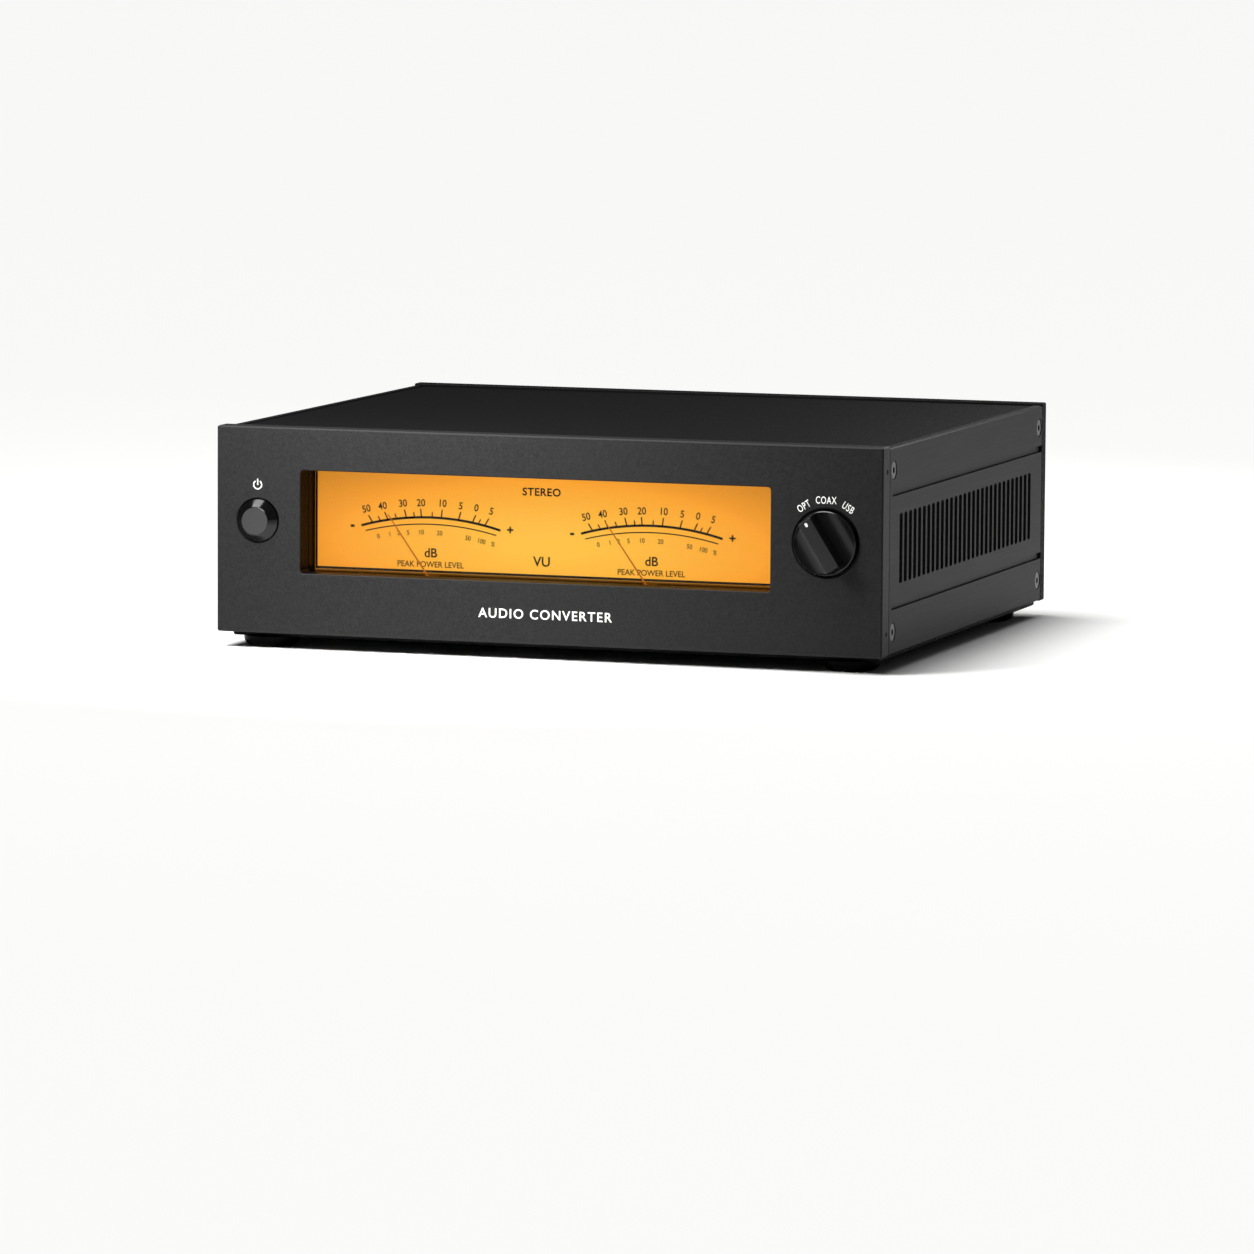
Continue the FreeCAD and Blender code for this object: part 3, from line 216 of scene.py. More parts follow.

# %% [markdown]
# The knob and the button are turned on a lathe before they are anodised. The button's cone
# is polished black and its face is left satin. The face is painted a lighter grey than the
# cone, painted light and shade on one anodised part. The tool leaves fine rings round the
# turning axis. The distance from that axis drives a noise, so equal distances share one value
# and the noise becomes rings.

# %% Turned knob and button
def turned(name, colour, centre, roughness, ring, gloss):
    """Lathe rings of about ring millimetres round a line along Y through centre."""
    made, tree, surface = material(name, colour, roughness, Specular_IOR_Level=gloss)
    place = add(tree, "ShaderNodeTexCoord", out="Object")
    centred = add(tree, "ShaderNodeVectorMath", {0: place, 1: centre}, operation="SUBTRACT")
    across = add(tree, "ShaderNodeVectorMath", {0: centred, 1: (1, 0, 1)}, operation="MULTIPLY")
    radius = add(tree, "ShaderNodeVectorMath", {0: across}, operation="LENGTH")
    rings = add(tree, "ShaderNodeTexNoise", {"W": radius, "Scale": per(ring), "Detail": 3.0},
                noise_dimensions="1D")
    sheen = add(tree, "ShaderNodeMapRange", {
        "Value": rings, **SPREAD, "To Min": roughness * 0.8, "To Max": roughness * 1.3,
    })
    relief = add(tree, "ShaderNodeBump", {"Height": rings, "Distance": 0.006 * MM, "Strength": 0.5})
    tree.links.new(sheen, surface["Roughness"])
    tree.links.new(relief, surface["Normal"])
    return made


# The face's lighter grey is painted light, and the cone's near black is painted shade.
BUTTON_FACE_PAINTED_LIGHT = turned("satin turned aluminium, painted lighter", "#282828", BUTTON_CENTRE, 0.34, 0.4, 0.4)
BUTTON_CONE_PAINTED_SHADE = turned("polished black anodised aluminium, painted darker", "#040404", BUTTON_CENTRE, 0.14, 0.4, 0.25)
KNOB_FINISH = turned("satin black anodised aluminium", "#0C0C0C", KNOB_CENTRE, 0.2, 0.3, 0.36)
print("made", BUTTON_FACE_PAINTED_LIGHT.name, "and", BUTTON_CONE_PAINTED_SHADE.name, "and", KNOB_FINISH.name)

# %% [markdown]
# ## Coatings, plastics and plated parts
#
# The lid, the bottom and the rear pan are steel sheet under a baked powder coat, whose skin
# has the soft ripple called orange peel. The tunnel behind the window is moulded ABS, kept
# dull so that it mirrors little of the dial. The sockets are the same plastic from a
# spark-eroded mould, which is matt and pebbled, and the rear rocker from a polished one.
# What sets these finishes apart is colour, gloss, and the size and depth of their ripple,
# so one recipe makes them all.

# %% Rippled finishes
def rippled(name, colours, roughness, size, depth, **sockets):
    """Two near colours and a gloss that follow a ripple of size and depth millimetres."""
    made, tree, surface = material(name, colours[0], roughness, **sockets)
    place = add(tree, "ShaderNodeTexCoord", out="Object")
    ripple = add(tree, "ShaderNodeTexNoise", {"Vector": place, "Scale": per(size), "Detail": 3.0})
    crest = add(tree, "ShaderNodeMapRange", {"Value": ripple, **SPREAD})
    shade = add(tree, "ShaderNodeMix", {0: crest, "A": linear(colours[0]), "B": linear(colours[1])},
                data_type="RGBA")
    sheen = add(tree, "ShaderNodeMapRange", {
        "Value": crest, "To Min": roughness * 0.8, "To Max": roughness * 1.25,
    })
    relief = add(tree, "ShaderNodeBump", {"Height": ripple, "Distance": depth * MM, "Strength": 0.5})
    tree.links.new(shade, surface["Base Color"])
    tree.links.new(sheen, surface["Roughness"])
    tree.links.new(relief, surface["Normal"])
    return made


POWDER_COAT = rippled("black powder-coated steel", ("#0C0C0C", "#101010"), 0.5, 1.1, 0.02,
                      Specular_IOR_Level=0.03)
# The window walls' near black is partly the milled finish and partly painted shade of the recess.
MILLED_PAINTED_SHADE = rippled("milled black anodised edge, painted shade", ("#050505", "#080808"), 0.3, 0.6, 0.004,
                 Specular_IOR_Level=0.015)
TUNNEL_ABS = rippled("dull black moulded ABS", ("#040404", "#060606"), 0.22, 2.5, 0.01,
                     Specular_IOR_Level=0.02)
GLOSS_ABS = rippled("glossy black moulded ABS", ("#070707", "#0A0A0A"), 0.08, 2.5, 0.01)
PEBBLED_ABS = rippled("pebbled black moulded ABS", ("#141414", "#1D1D1D"), 0.5, 0.35, 0.02)
# This rubber is darkened below real black rubber: painted shade.
RUBBER_PAINTED_SHADE = rippled("glossy black moulded rubber, painted shade", ("#020202", "#040404"), 0.3, 0.6, 0.01,
                 Specular_IOR_Level=0.02)
print("black finishes made")

# %% [markdown]
# The plated, printed and coloured parts use the same recipe. The small screws are blackened
# with hot oxide, terminals are nickel, contacts are gold over nickel, and each jack has a
# coloured nylon ring.

# %% Plated and coloured finishes
BLACK_OXIDE = rippled("black oxide on steel", ("#343435", "#424243"), 0.34, 0.5, 0.005, Metallic=1.0)
NICKEL = rippled("nickel plate", ("#B0ABA1", "#C0BBB0"), 0.22, 0.6, 0.004, Metallic=1.0)
GOLD = rippled("thin gold plate", ("#CF9A42", "#DDAB55"), 0.2, 0.6, 0.004, Metallic=1.0)
ZINC = rippled("bright zinc plate", ("#A9AEB5", "#BDC0C2"), 0.28, 3.0, 0.004, Metallic=1.0)
BARE_ALUMINIUM = rippled("milled bare aluminium", ("#BFC0C2", "#CBCCCE"), 0.3, 0.4, 0.006, Metallic=1.0)
# Bright steel painted dark: a painted reflection of dark surroundings.
SCREW_STEEL_PAINTED_DARK = rippled("bright screw steel, painted dark", ("#2C2D2E", "#38393A"), 0.3, 0.4, 0.004, Metallic=1.0)
BRASS = rippled("turned brass", ("#BC9246", "#C9A052"), 0.28, 0.4, 0.006, Metallic=1.0)
COPPER = rippled("enamelled copper wire", ("#8C3D1C", "#A14C26"), 0.25, 0.2, 0.02, Metallic=1.0)
WHITE_INK = rippled("white screen-printed ink", ("#E6E6E2", "#F2F2EF"), 0.45, 0.3, 0.002)
RED_NYLON = rippled("moulded red nylon", ("#861510", "#961B15"), 0.4, 0.5, 0.01)
WHITE_NYLON = rippled("moulded white nylon", ("#D2D0C9", "#DEDCD5"), 0.4, 0.5, 0.01)
YELLOW_NYLON = rippled("moulded yellow nylon", ("#B98A14", "#C6981E"), 0.4, 0.5, 0.01)
CHIP_EPOXY = rippled("moulded chip epoxy", ("#121212", "#191919"), 0.55, 0.3, 0.02)
BLUE_SLEEVE = rippled("blue shrink sleeve", ("#0F1A31", "#152444"), 0.3, 2.0, 0.02)
GREY_PVC = rippled("grey flat-cable sheath", ("#717375", "#7F8183"), 0.45, 0.6, 0.02)
print("finishes so far:", len(bpy.data.materials))

# %% [markdown]
# Two parts inside need a pattern of their own. A circuit board is glass laminate under a
# green mask with copper tracks, drawn as right-angled cells. The transformer is a steel ring
# wound with yellow tape, whose laps repeat every few degrees round the ring, so the angle
# round its centre drives them.

# %% Board and transformer
def solder_mask():
    """Dark green mask, with the paler lines where copper lies under it."""
    made, tree, surface = material("green solder mask", "#0E3A22", 0.32)
    place = add(tree, "ShaderNodeTexCoord", out="Object")
    cells = add(tree, "ShaderNodeTexVoronoi", {"Vector": place, "Scale": per(4.0), "Randomness": 0.9},
                distance="CHEBYCHEV")
    tracks = add(tree, "ShaderNodeMapRange", {"Value": cells, "From Min": 0.44, "From Max": 0.5})
    shade = add(tree, "ShaderNodeMix", {0: tracks, "A": linear("#0B3320"), "B": linear("#1C5A38")},
                data_type="RGBA")
    relief = add(tree, "ShaderNodeBump", {"Height": tracks, "Distance": 0.03 * MM, "Strength": 0.5})
    tree.links.new(shade, surface["Base Color"])
    tree.links.new(relief, surface["Normal"])
    return made


def wound_tape():
    """Yellow polyester tape, each lap painted darker at its edges and lighter at its middle: painted shade
    and light over its ripple.
    """
    made, tree, surface = material("wound polyester tape", "#B98A2B", 0.28)
    place = add(tree, "ShaderNodeTexCoord", out="Object")
    centred = add(tree, "ShaderNodeVectorMath", {0: place, 1: middle("transformer")}, operation="SUBTRACT")
    axes = add(tree, "ShaderNodeSeparateXYZ", {0: centred}).node.outputs
    angle = add(tree, "ShaderNodeMath", {0: axes["Y"], 1: axes["X"]}, operation="ARCTAN2")
    lap = math.radians(7.5)
    laps = add(tree, "ShaderNodeMath", {0: angle, 1: lap}, operation="PINGPONG")
    ridge = add(tree, "ShaderNodeMapRange", {"Value": laps, "From Max": lap})
    # The lap colour follows the ripple's height, with painted shade in the creases between laps.
    shade = add(tree, "ShaderNodeMix", {0: ridge, "A": linear("#7A5A1C"), "B": linear("#C69A3A")},
                data_type="RGBA")
    relief = add(tree, "ShaderNodeBump", {"Height": ridge, "Distance": 0.2 * MM, "Strength": 0.6})
    tree.links.new(shade, surface["Base Color"])
    tree.links.new(relief, surface["Normal"])
    return made


SOLDER_MASK = solder_mask()
WOUND_TAPE = wound_tape()
print("made", SOLDER_MASK.name, "and", WOUND_TAPE.name)

# %% [markdown]
# ## The lit dial
#
# The dial is a translucent sheet, printed with the scales and lit from behind by two rows
# of lamps. The light pools in the lower middle and falls off towards the corners, so the
# glow is drawn from the distance to that pool, squashed to the shape of the window. The
# sheet itself is faintly mottled, and below the printed border its masked rim stays dim.

# %% Dial sheet
POOL = on_dial(-4.0, 33.0)
POOL_REACH = (105.0, 30.0)
RIM_TOP = (21.6, 22.4)


def lit_dial():
    """Amber light through a diffusing sheet, brightest low in the middle."""
    made, tree, surface = material("amber back-lit polycarbonate", "#0A0602", 0.6,
                                   Emission_Strength=1.0, Specular_IOR_Level=0.1)
    place = add(tree, "ShaderNodeTexCoord", out="Object")
    centred = add(tree, "ShaderNodeVectorMath", {0: place, 1: POOL}, operation="SUBTRACT")
    shape = (per(POOL_REACH[0]), 0.0, per(POOL_REACH[1]))
    squashed = add(tree, "ShaderNodeVectorMath", {0: centred, 1: shape}, operation="MULTIPLY")
    away = add(tree, "ShaderNodeVectorMath", {0: squashed}, operation="LENGTH")
    inner = add(tree, "ShaderNodeMapRange", {"Value": away, "From Min": 0.15, "From Max": 0.8})
    outer = add(tree, "ShaderNodeMapRange", {"Value": away, "From Min": 0.75, "From Max": 1.15})
    mottle = add(tree, "ShaderNodeTexNoise", {"Vector": place, "Scale": per(1.2), "Detail": 2.0})
    cloud = add(tree, "ShaderNodeMapRange", {"Value": mottle, **SPREAD, "To Max": 0.07})
    glow = add(tree, "ShaderNodeMix", {0: inner, "A": linear("#FFC03B"), "B": linear("#FA9F20")},
               data_type="RGBA")
    glow = add(tree, "ShaderNodeMix", {0: outer, "A": glow, "B": linear("#C67C12")}, data_type="RGBA")
    glow = add(tree, "ShaderNodeMix", {0: cloud, "A": glow, "B": linear("#EA9A20")}, data_type="RGBA")
    height = add(tree, "ShaderNodeSeparateXYZ", {0: place}, out="Z")
    lit = add(tree, "ShaderNodeMapRange", {
        "Value": height, "From Min": on_dial(0, RIM_TOP[0]).z, "From Max": on_dial(0, RIM_TOP[1]).z,
    })
    glow = add(tree, "ShaderNodeMix", {0: lit, "A": linear("#5A3406"), "B": glow}, data_type="RGBA")
    tree.links.new(glow, surface["Emission Color"])
    return made


LIT_DIAL = lit_dial()
print("made", LIT_DIAL.name)

# %% [markdown]
# The ink on the dial stays dark because no light comes through it. A needle is enamelled
# orange, and it is given a painted glow, which stands in for the dial's light wrapping round it.
# The pane over them is clear cast acrylic. Its index of refraction is lowered from 1.49 to
# 1.2, because the real pane is bloomed against reflections and mirrors next to nothing.

# %% Ink, enamel with its painted glow, and clear pane
DIAL_INK = rippled("dark dial ink", ("#040404", "#070708"), 0.7, 0.3, 0.002, Specular_IOR_Level=0.02)
# The needle's emission is a painted glow; the needle itself is no lamp.
NEEDLE_ENAMEL_PAINTED_GLOW = rippled("orange needle enamel with painted glow", ("#1C0A02", "#260E03"), 0.6, 0.4, 0.002,
                        Specular_IOR_Level=0.02, Emission_Color=linear("#C0640C"), Emission_Strength=0.8)
CLEAR_ACRYLIC = material("polished clear acrylic", "#FFFFFF", 0.0, Transmission_Weight=1.0, IOR=1.2)[0]
print("finishes:", len(bpy.data.materials))

# %% [markdown]
# ## Painting the pieces that stay as they are
#
# Most pieces already have their true shape, so they only take a finish. A piece's mesh is
# left alone: the finish goes into its material slots.

# %% Finish each CAD piece
COVERING = {
    SIDE_FINISH: ["side_panel_left", "side_panel_right", "supply_heat_sink"],
    POWDER_COAT: ["top_cover", "base_plate", "rear_panel"],
    PLATE_FINISH: ["front_panel"],
    BARE_ALUMINIUM: ["corner_blocks"],
    ZINC: ["sub_panel", "transformer_clamp"],
    NICKEL: [
        "panel_screws", "board_screws", "foot_screws", "selector_shaft", "selector_nut",
        "inlet_blades", "usb_socket",
    ],
    GOLD: ["phono_jacks", "xlr_contacts"],
    BRASS: ["board_spacers"],
    TUNNEL_ABS: ["meter_housing"],
    GLOSS_ABS: ["mains_rocker"],
    PEBBLED_ABS: [
        "meter_left", "meter_right", "button_guide", "power_switch", "selector_switch",
        "mains_inlet", "rocker_housing", "xlr_sockets", "optical_socket", "optical_shutter",
    ],
    LIT_DIAL: ["dial_plate"],
    CLEAR_ACRYLIC: ["window_lens", "light_guide"],
    SOLDER_MASK: ["main_board", "supply_board", "ladder_board", "lamp_board", "button_board"],
    CHIP_EPOXY: ["ladder_resistors", "audio_chips"],
    BLUE_SLEEVE: ["supply_capacitors"],
    WOUND_TAPE: ["transformer"],
    RUBBER_PAINTED_SHADE: ["transformer_pad", "foot_front_left", "foot_front_right", "foot_rear_left", "foot_rear_right"],
    GREY_PVC: ["ribbon_cable"],
    BLACK_OXIDE: ["panel_set_screws", "side_screws", "base_screws", "rear_screws"],
    WHITE_INK: ["knob_pointer"],
    KNOB_FINISH: ["selector_knob"],
    BUTTON_CONE_PAINTED_SHADE: ["power_button"],
    WHITE_NYLON: ["jack_insulators"],
}
painted = []
for finish, names in COVERING.items():
    for name in names:
        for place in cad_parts[name].material_slots:
            place.material = finish
        painted.append(name)
print("finished", len(painted), "of", len(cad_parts), "pieces")

# %% [markdown]
# ## Pieces rebuilt with smooth skins
#
# A CAD mesh is loose triangles, so its round parts look faceted. A copy is merged into one
# skin and shaded smooth, except across edges that are sharper than a set angle. A choice
# function can give each face of the copy its own finish. The copy then stands in for the
# original piece.

# %% Helpers for new pieces
WELD_WITHIN = 0.001
SHARP_FROM = 30.0
FLAT_WITHIN = 0.5


def new_piece(name, mesh, finishes, body, replaces=()):
    """Puts a mesh in the scene as one finished piece that rides on a body.

    A mesh that Geometry Nodes made already has its material, and takes no finishes.
    """
    piece = bpy.data.objects.new(name, mesh)
    bpy.context.scene.collection.objects.link(piece)
    for finish in finishes:
        mesh.materials.append(finish)
    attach(piece, body)
    if replaces:
        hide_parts(*replaces)
    return piece


def shade_crisp(shape):
    """Shades a bmesh smooth, with its sharp edges left crisp."""
    for face in shape.faces:
        face.smooth = True
    for edge in shape.edges:
        edge.smooth = len(edge.link_faces) == 2 and edge.calc_face_angle(0.0) < math.radians(SHARP_FROM)


def skin_of(name, choose=None, flatten=False):
    """A CAD piece's triangles merged into one skin.

    choose picks each face's finish, and flatten joins triangles that lie in one plane.
    """
    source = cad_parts[name].data
    mesh = bpy.data.meshes.new(name + "_skin")
    mesh.from_pydata([v.co for v in source.vertices], [], [list(p.vertices) for p in source.polygons])
    shape = bmesh.new()
    shape.from_mesh(mesh)
    bmesh.ops.remove_doubles(shape, verts=shape.verts, dist=WELD_WITHIN * MM)
    if flatten:
        limit = math.radians(FLAT_WITHIN)
        bmesh.ops.dissolve_limit(shape, angle_limit=limit, verts=shape.verts, edges=shape.edges)
    shade_crisp(shape)
    for face in shape.faces:
        face.material_index = choose(face.calc_center_median(), face.normal) if choose else 0
    shape.to_mesh(mesh)
    shape.free()
    return mesh


# %% [markdown]
# The front plate's window was milled after blasting, so its inner walls are smoother than
# the face, and mirror the dial as a faint brown gleam. They are also painted far darker than
# the face, a painted shade inside the window's recess. A face takes the milled finish if it
# lies at the window and looks neither forwards nor backwards.

# %% Front plate
WINDOW_LOW, WINDOW_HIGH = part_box("window_lens")


def plate_finish(centre, normal):
    """1 for the window's inner walls, 0 for every other face of the plate."""
    edge = 4 * MM
    across = WINDOW_LOW.x - edge < centre.x < WINDOW_HIGH.x + edge
    upright = WINDOW_LOW.z - edge < centre.z < WINDOW_HIGH.z + edge
    return int(across and upright and abs(normal.y) < 0.2)


front_plate = new_piece("front_plate", skin_of("front_panel", plate_finish), [PLATE_FINISH, MILLED_PAINTED_SHADE],
                        "case", ["front_panel"])
print("front plate faces:", len(front_plate.data.polygons))

# %% [markdown]
# A real machined edge is never perfectly sharp: it is broken by a fraction of a millimetre,
# and that sliver catches the light along the knob's bar. A Bevel modifier rounds every
# corner that is sharper than a set angle.

# %% Knob and button
knob = new_piece("input_knob", skin_of("selector_knob", flatten=True), [KNOB_FINISH],
                 "selector", ["selector_knob"])
bevel = knob.modifiers.new("broken corners", "BEVEL")
bevel.width = 0.14 * MM
bevel.segments = 2
bevel.limit_method = "ANGLE"
bevel.angle_limit = math.radians(40)
bevel.harden_normals = True
BUTTON_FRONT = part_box("power_button")[0].y


def button_finish(centre, normal):
    """0 for the flat front face, 1 for the cone and the rest."""
    return int(normal.y > -0.999 or centre.y > BUTTON_FRONT + 0.2 * MM)


button = new_piece("push_button", skin_of("power_button", button_finish), [BUTTON_FACE_PAINTED_LIGHT, BUTTON_CONE_PAINTED_SHADE],
                   "power_button", ["power_button"])
print("knob faces:", len(knob.data.polygons), "button faces:", len(button.data.polygons))

# %% [markdown]
# The knob's mark is a short bar of white paint let into the grip, in line with it. The knob
# rests turned a little to the left, so the mark leans with it.

# %% Knob mark
KNOB_LEAN = -32.0
MARK_WIDE, MARK_LONG, MARK_CORNER = 0.85, 1.5, 0.3
mark_low, mark_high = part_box("knob_pointer")
mark = bmesh.new()
bmesh.ops.create_cube(mark, size=1.0)
bmesh.ops.scale(mark, vec=(MARK_WIDE * MM, mark_high.y - mark_low.y, MARK_LONG * MM), verts=mark.verts)
upright = [edge for edge in mark.edges if abs((edge.verts[0].co - edge.verts[1].co).y) > 0.1 * MM]
bmesh.ops.bevel(mark, geom=upright, offset=MARK_CORNER * MM, segments=4, profile=0.5, affect="EDGES")
bmesh.ops.rotate(mark, matrix=Matrix.Rotation(math.radians(KNOB_LEAN), 3, "Y"), verts=mark.verts)
bmesh.ops.translate(mark, vec=(mark_low + mark_high) / 2, verts=mark.verts)
mark_mesh = bpy.data.meshes.new("knob_mark")
mark.to_mesh(mark_mesh)
mark.free()
new_piece("knob_mark", mark_mesh, [WHITE_INK], "selector", ["knob_pointer"])
print("knob mark faces:", len(mark_mesh.polygons))

# %% [markdown]
# A meter's needle and its coil turn as one. The part in front of the dial is enamelled, and
# what lies behind it is the coil, wound from enamelled copper wire.

# %% Needles
def needle_finish(centre, normal):
    """0 in front of the dial, 1 behind it."""
    return int(centre.y > DIAL_FACE)


for side in ("left", "right"):
    new_piece("pointer_" + side, skin_of("needle_" + side, needle_finish), [NEEDLE_ENAMEL_PAINTED_GLOW, COPPER],
              "needle_" + side, ["needle_" + side])
print("needles ride on their own bodies")

# %% [markdown]
# The feet are moulded rubber buttons, and the round sockets are turned. All of them are
# smooth to the touch, so they get smooth skins too. The feet's rubber is darker than real
# rubber, a painted shade of the shadow they stand in.

# %% Feet and sockets
RING_MIDDLE = middle("jack_insulators")
for corner in ("front_left", "front_right", "rear_left", "rear_right"):
    new_piece("pad_" + corner, skin_of("foot_" + corner), [RUBBER_PAINTED_SHADE], "case", ["foot_" + corner])


def ring_finish(centre, normal):
    """0 for white on the lower line jack, 1 for red on the upper, 2 for yellow on the input."""
    if centre.x < RING_MIDDLE.x:
        return 2
    return int(centre.z > RING_MIDDLE.z)


new_piece("jack_shells", skin_of("phono_jacks"), [GOLD], "case", ["phono_jacks"])
jack_rings = new_piece("jack_rings", skin_of("jack_insulators", ring_finish),
                       [WHITE_NYLON, RED_NYLON, YELLOW_NYLON], "case", ["jack_insulators"])
new_piece("balanced_sockets", skin_of("xlr_sockets"), [PEBBLED_ABS], "case", ["xlr_sockets"])
print("colours of the jack rings:", len({face.material_index for face in jack_rings.data.polygons}))

# %% [markdown]
# ## Screws
#
# The same screw sits at many places, so Geometry Nodes puts it there. The input is a mesh of
# bare points, each with a turn and a stretch of its own as attributes. Realize Instances
# makes the copies real geometry, because an exported model holds no instances. Two short
# functions start and end every tree here, and a third runs one and hands back a plain mesh.

# %% Geometry Nodes helpers
def group(name, inputs):
    """An empty Geometry Nodes tree with named inputs. Returns it and its inputs' sockets."""
    tree = bpy.data.node_groups.new(name, "GeometryNodeTree")
    tree.interface.new_socket("Geometry", in_out="INPUT", socket_type="NodeSocketGeometry")
    for label, kind in inputs.items():
        tree.interface.new_socket(label, in_out="INPUT", socket_type=kind)
    tree.interface.new_socket("Geometry", in_out="OUTPUT", socket_type="NodeSocketGeometry")
    return tree, add(tree, "NodeGroupInput").node.outputs


def put_on_points(tree, given, shape):
    """Ends a tree: the shape on every point, made real and given its material."""
    turn = add(tree, "GeometryNodeInputNamedAttribute", {"Name": "turn"}, data_type="FLOAT_VECTOR")
    stretch = add(tree, "GeometryNodeInputNamedAttribute", {"Name": "stretch"}, data_type="FLOAT_VECTOR")
    placed = add(tree, "GeometryNodeInstanceOnPoints", {
        "Points": given["Geometry"], "Instance": shape, "Rotation": turn, "Scale": stretch,
    })
    real = add(tree, "GeometryNodeRealizeInstances", {"Geometry": placed})
    done = add(tree, "GeometryNodeSetMaterial", {"Geometry": real, "Material": given["Material"]})
    add(tree, "NodeGroupOutput", {"Geometry": done})


def grow(name, spots, tree, values):
    """Runs a tree on spots of (place, turn, stretch) and returns the plain mesh it makes."""
    mesh = bpy.data.meshes.new(name)
    mesh.from_pydata([spot[0] for spot in spots], [], [])
    for column, label in ((1, "turn"), (2, "stretch")):
        layer = mesh.attributes.new(label, "FLOAT_VECTOR", "POINT")
        layer.data.foreach_set("vector", [number for spot in spots for number in spot[column]])
    holder = bpy.data.objects.new(name, mesh)
    bpy.context.scene.collection.objects.link(holder)
    run = holder.modifiers.new(name, "NODES")
    run.node_group = tree
    for item in tree.interface.items_tree:
        if item.in_out == "INPUT" and item.name in values:
            run[item.identifier] = values[item.name]
    made = bpy.data.meshes.new_from_object(holder.evaluated_get(bpy.context.evaluated_depsgraph_get()))
    bpy.data.objects.remove(holder)
    return made


# %% [markdown]
# A countersunk screw is a cone that narrows away from its flat head, with a six-sided
# socket sunk in it. The cone and the socket are two primitives, and a boolean takes one
# from the other. The head is made a hair smaller than its seat, which leaves the thin dark
# ring seen round a real one. The seats' radius also tells how far each screw's middle lies
# in from the corners of their common box.

# %% Countersunk screws
def socket_screws():
    """A countersunk head on each point, facing the point's own Z."""
    tree, given = group("socket screws", {
        "Head radius": "NodeSocketFloat", "Head depth": "NodeSocketFloat", "Socket radius": "NodeSocketFloat",
        "Material": "NodeSocketMaterial",
    })
    waist = add(tree, "ShaderNodeMath", {0: given["Head radius"], 1: 0.5}, operation="MULTIPLY")
    cone = add(tree, "GeometryNodeMeshCone", {
        "Vertices": 40, "Radius Top": given["Head radius"], "Radius Bottom": waist,
        "Depth": given["Head depth"],
    })
    down = add(tree, "ShaderNodeMath", {0: given["Head depth"], 1: -1.0}, operation="MULTIPLY")
    sink = add(tree, "ShaderNodeCombineXYZ", {"Z": down})
    head = add(tree, "GeometryNodeTransform", {"Geometry": cone, "Translation": sink})
    hexagon = add(tree, "GeometryNodeMeshCylinder", {
        "Vertices": 6, "Radius": given["Socket radius"], "Depth": given["Head depth"],
    })
    cut = add(tree, "GeometryNodeMeshBoolean", {"Mesh 1": head, "Mesh 2": hexagon}, operation="DIFFERENCE")
    put_on_points(tree, given, cut)
    return tree


SCREWS = socket_screws()
SEAT = 3.2 * MM
seats_low, seats_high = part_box("side_screws")
side_spots = []
for x, turn in ((seats_high.x, 90), (seats_low.x, -90)):
    for y in (seats_low.y + SEAT, seats_high.y - SEAT):
        for z in (seats_low.z + SEAT, seats_high.z - SEAT):
            side_spots.append((Vector((x, y, z)), (0, math.radians(turn), 0), (1, 1, 1)))
sizes = {"Head radius": 3.0 * MM, "Head depth": 1.5 * MM, "Socket radius": 1.25 * MM, "Material": SCREW_STEEL_PAINTED_DARK}
side_heads = grow("side_screw_heads", side_spots, SCREWS, sizes)
new_piece("side_screw_heads", side_heads, [], "case", ["side_screws"])
print("side screws:", len(side_spots), "from", len(side_heads.polygons), "faces")

# %% [markdown]
# ## Print
#
# The lettering on the plate and the dial is screen-printed: ink some hundredths of a
# millimetre thick. Each word is made as a text curve with a little thickness, turned into a
# mesh, and stood upright on its surface. All the words of one ink become one piece.

# %% Lettering
INK_THICK = 0.03
PROUD = INK_THICK / 2


def text_mesh(words, spacing=1.0, weight=0.0):
    """A word as a mesh two units deep, lying on X and Y."""
    curve = bpy.data.curves.new("words", "FONT")
    curve.body = words
    curve.align_x = "CENTER"
    curve.space_character = spacing
    curve.offset = weight
    curve.resolution_u = 4
    curve.extrude = 1.0
    holder = bpy.data.objects.new("words", curve)
    bpy.context.scene.collection.objects.link(holder)
    mesh = bpy.data.meshes.new_from_object(holder.evaluated_get(bpy.context.evaluated_depsgraph_get()))
    bpy.data.objects.remove(holder)
    return mesh


CAPITAL = max(v.co.y for v in text_mesh("H").vertices)
print("a capital's height in text units:", round(CAPITAL, 3))


def word(words, cap, place, turn=0.0, spacing=1.0, weight=0.0, facing=0.0, narrow=1.0):
    """Upright print with capitals cap millimetres tall, centred on place.

    turn leans it anticlockwise as the reader sees it, a facing of 180 puts it on the back, and
    narrow squeezes it sideways.
    """
    size = cap * MM / CAPITAL
    mesh = text_mesh(words, spacing, weight)
    mesh.transform(Matrix.Translation((0, -CAPITAL / 2, 0)))
    mesh.transform(Matrix.Diagonal((size * narrow, size, INK_THICK * MM / 2, 1)))
    mesh.transform(Matrix.Rotation(math.radians(turn), 4, "Z"))
    mesh.transform(Matrix.Rotation(math.radians(90), 4, "X"))
    mesh.transform(Matrix.Rotation(math.radians(facing), 4, "Z"))
    mesh.transform(Matrix.Translation(place))
    return mesh


# %% [markdown]
# Arcs, rules and borders are flat outlines with the thickness of the ink. An outline is
# drawn in millimetres across and up, and pushed through to its back.

# %% Printed shapes
ARC_STEPS = 48


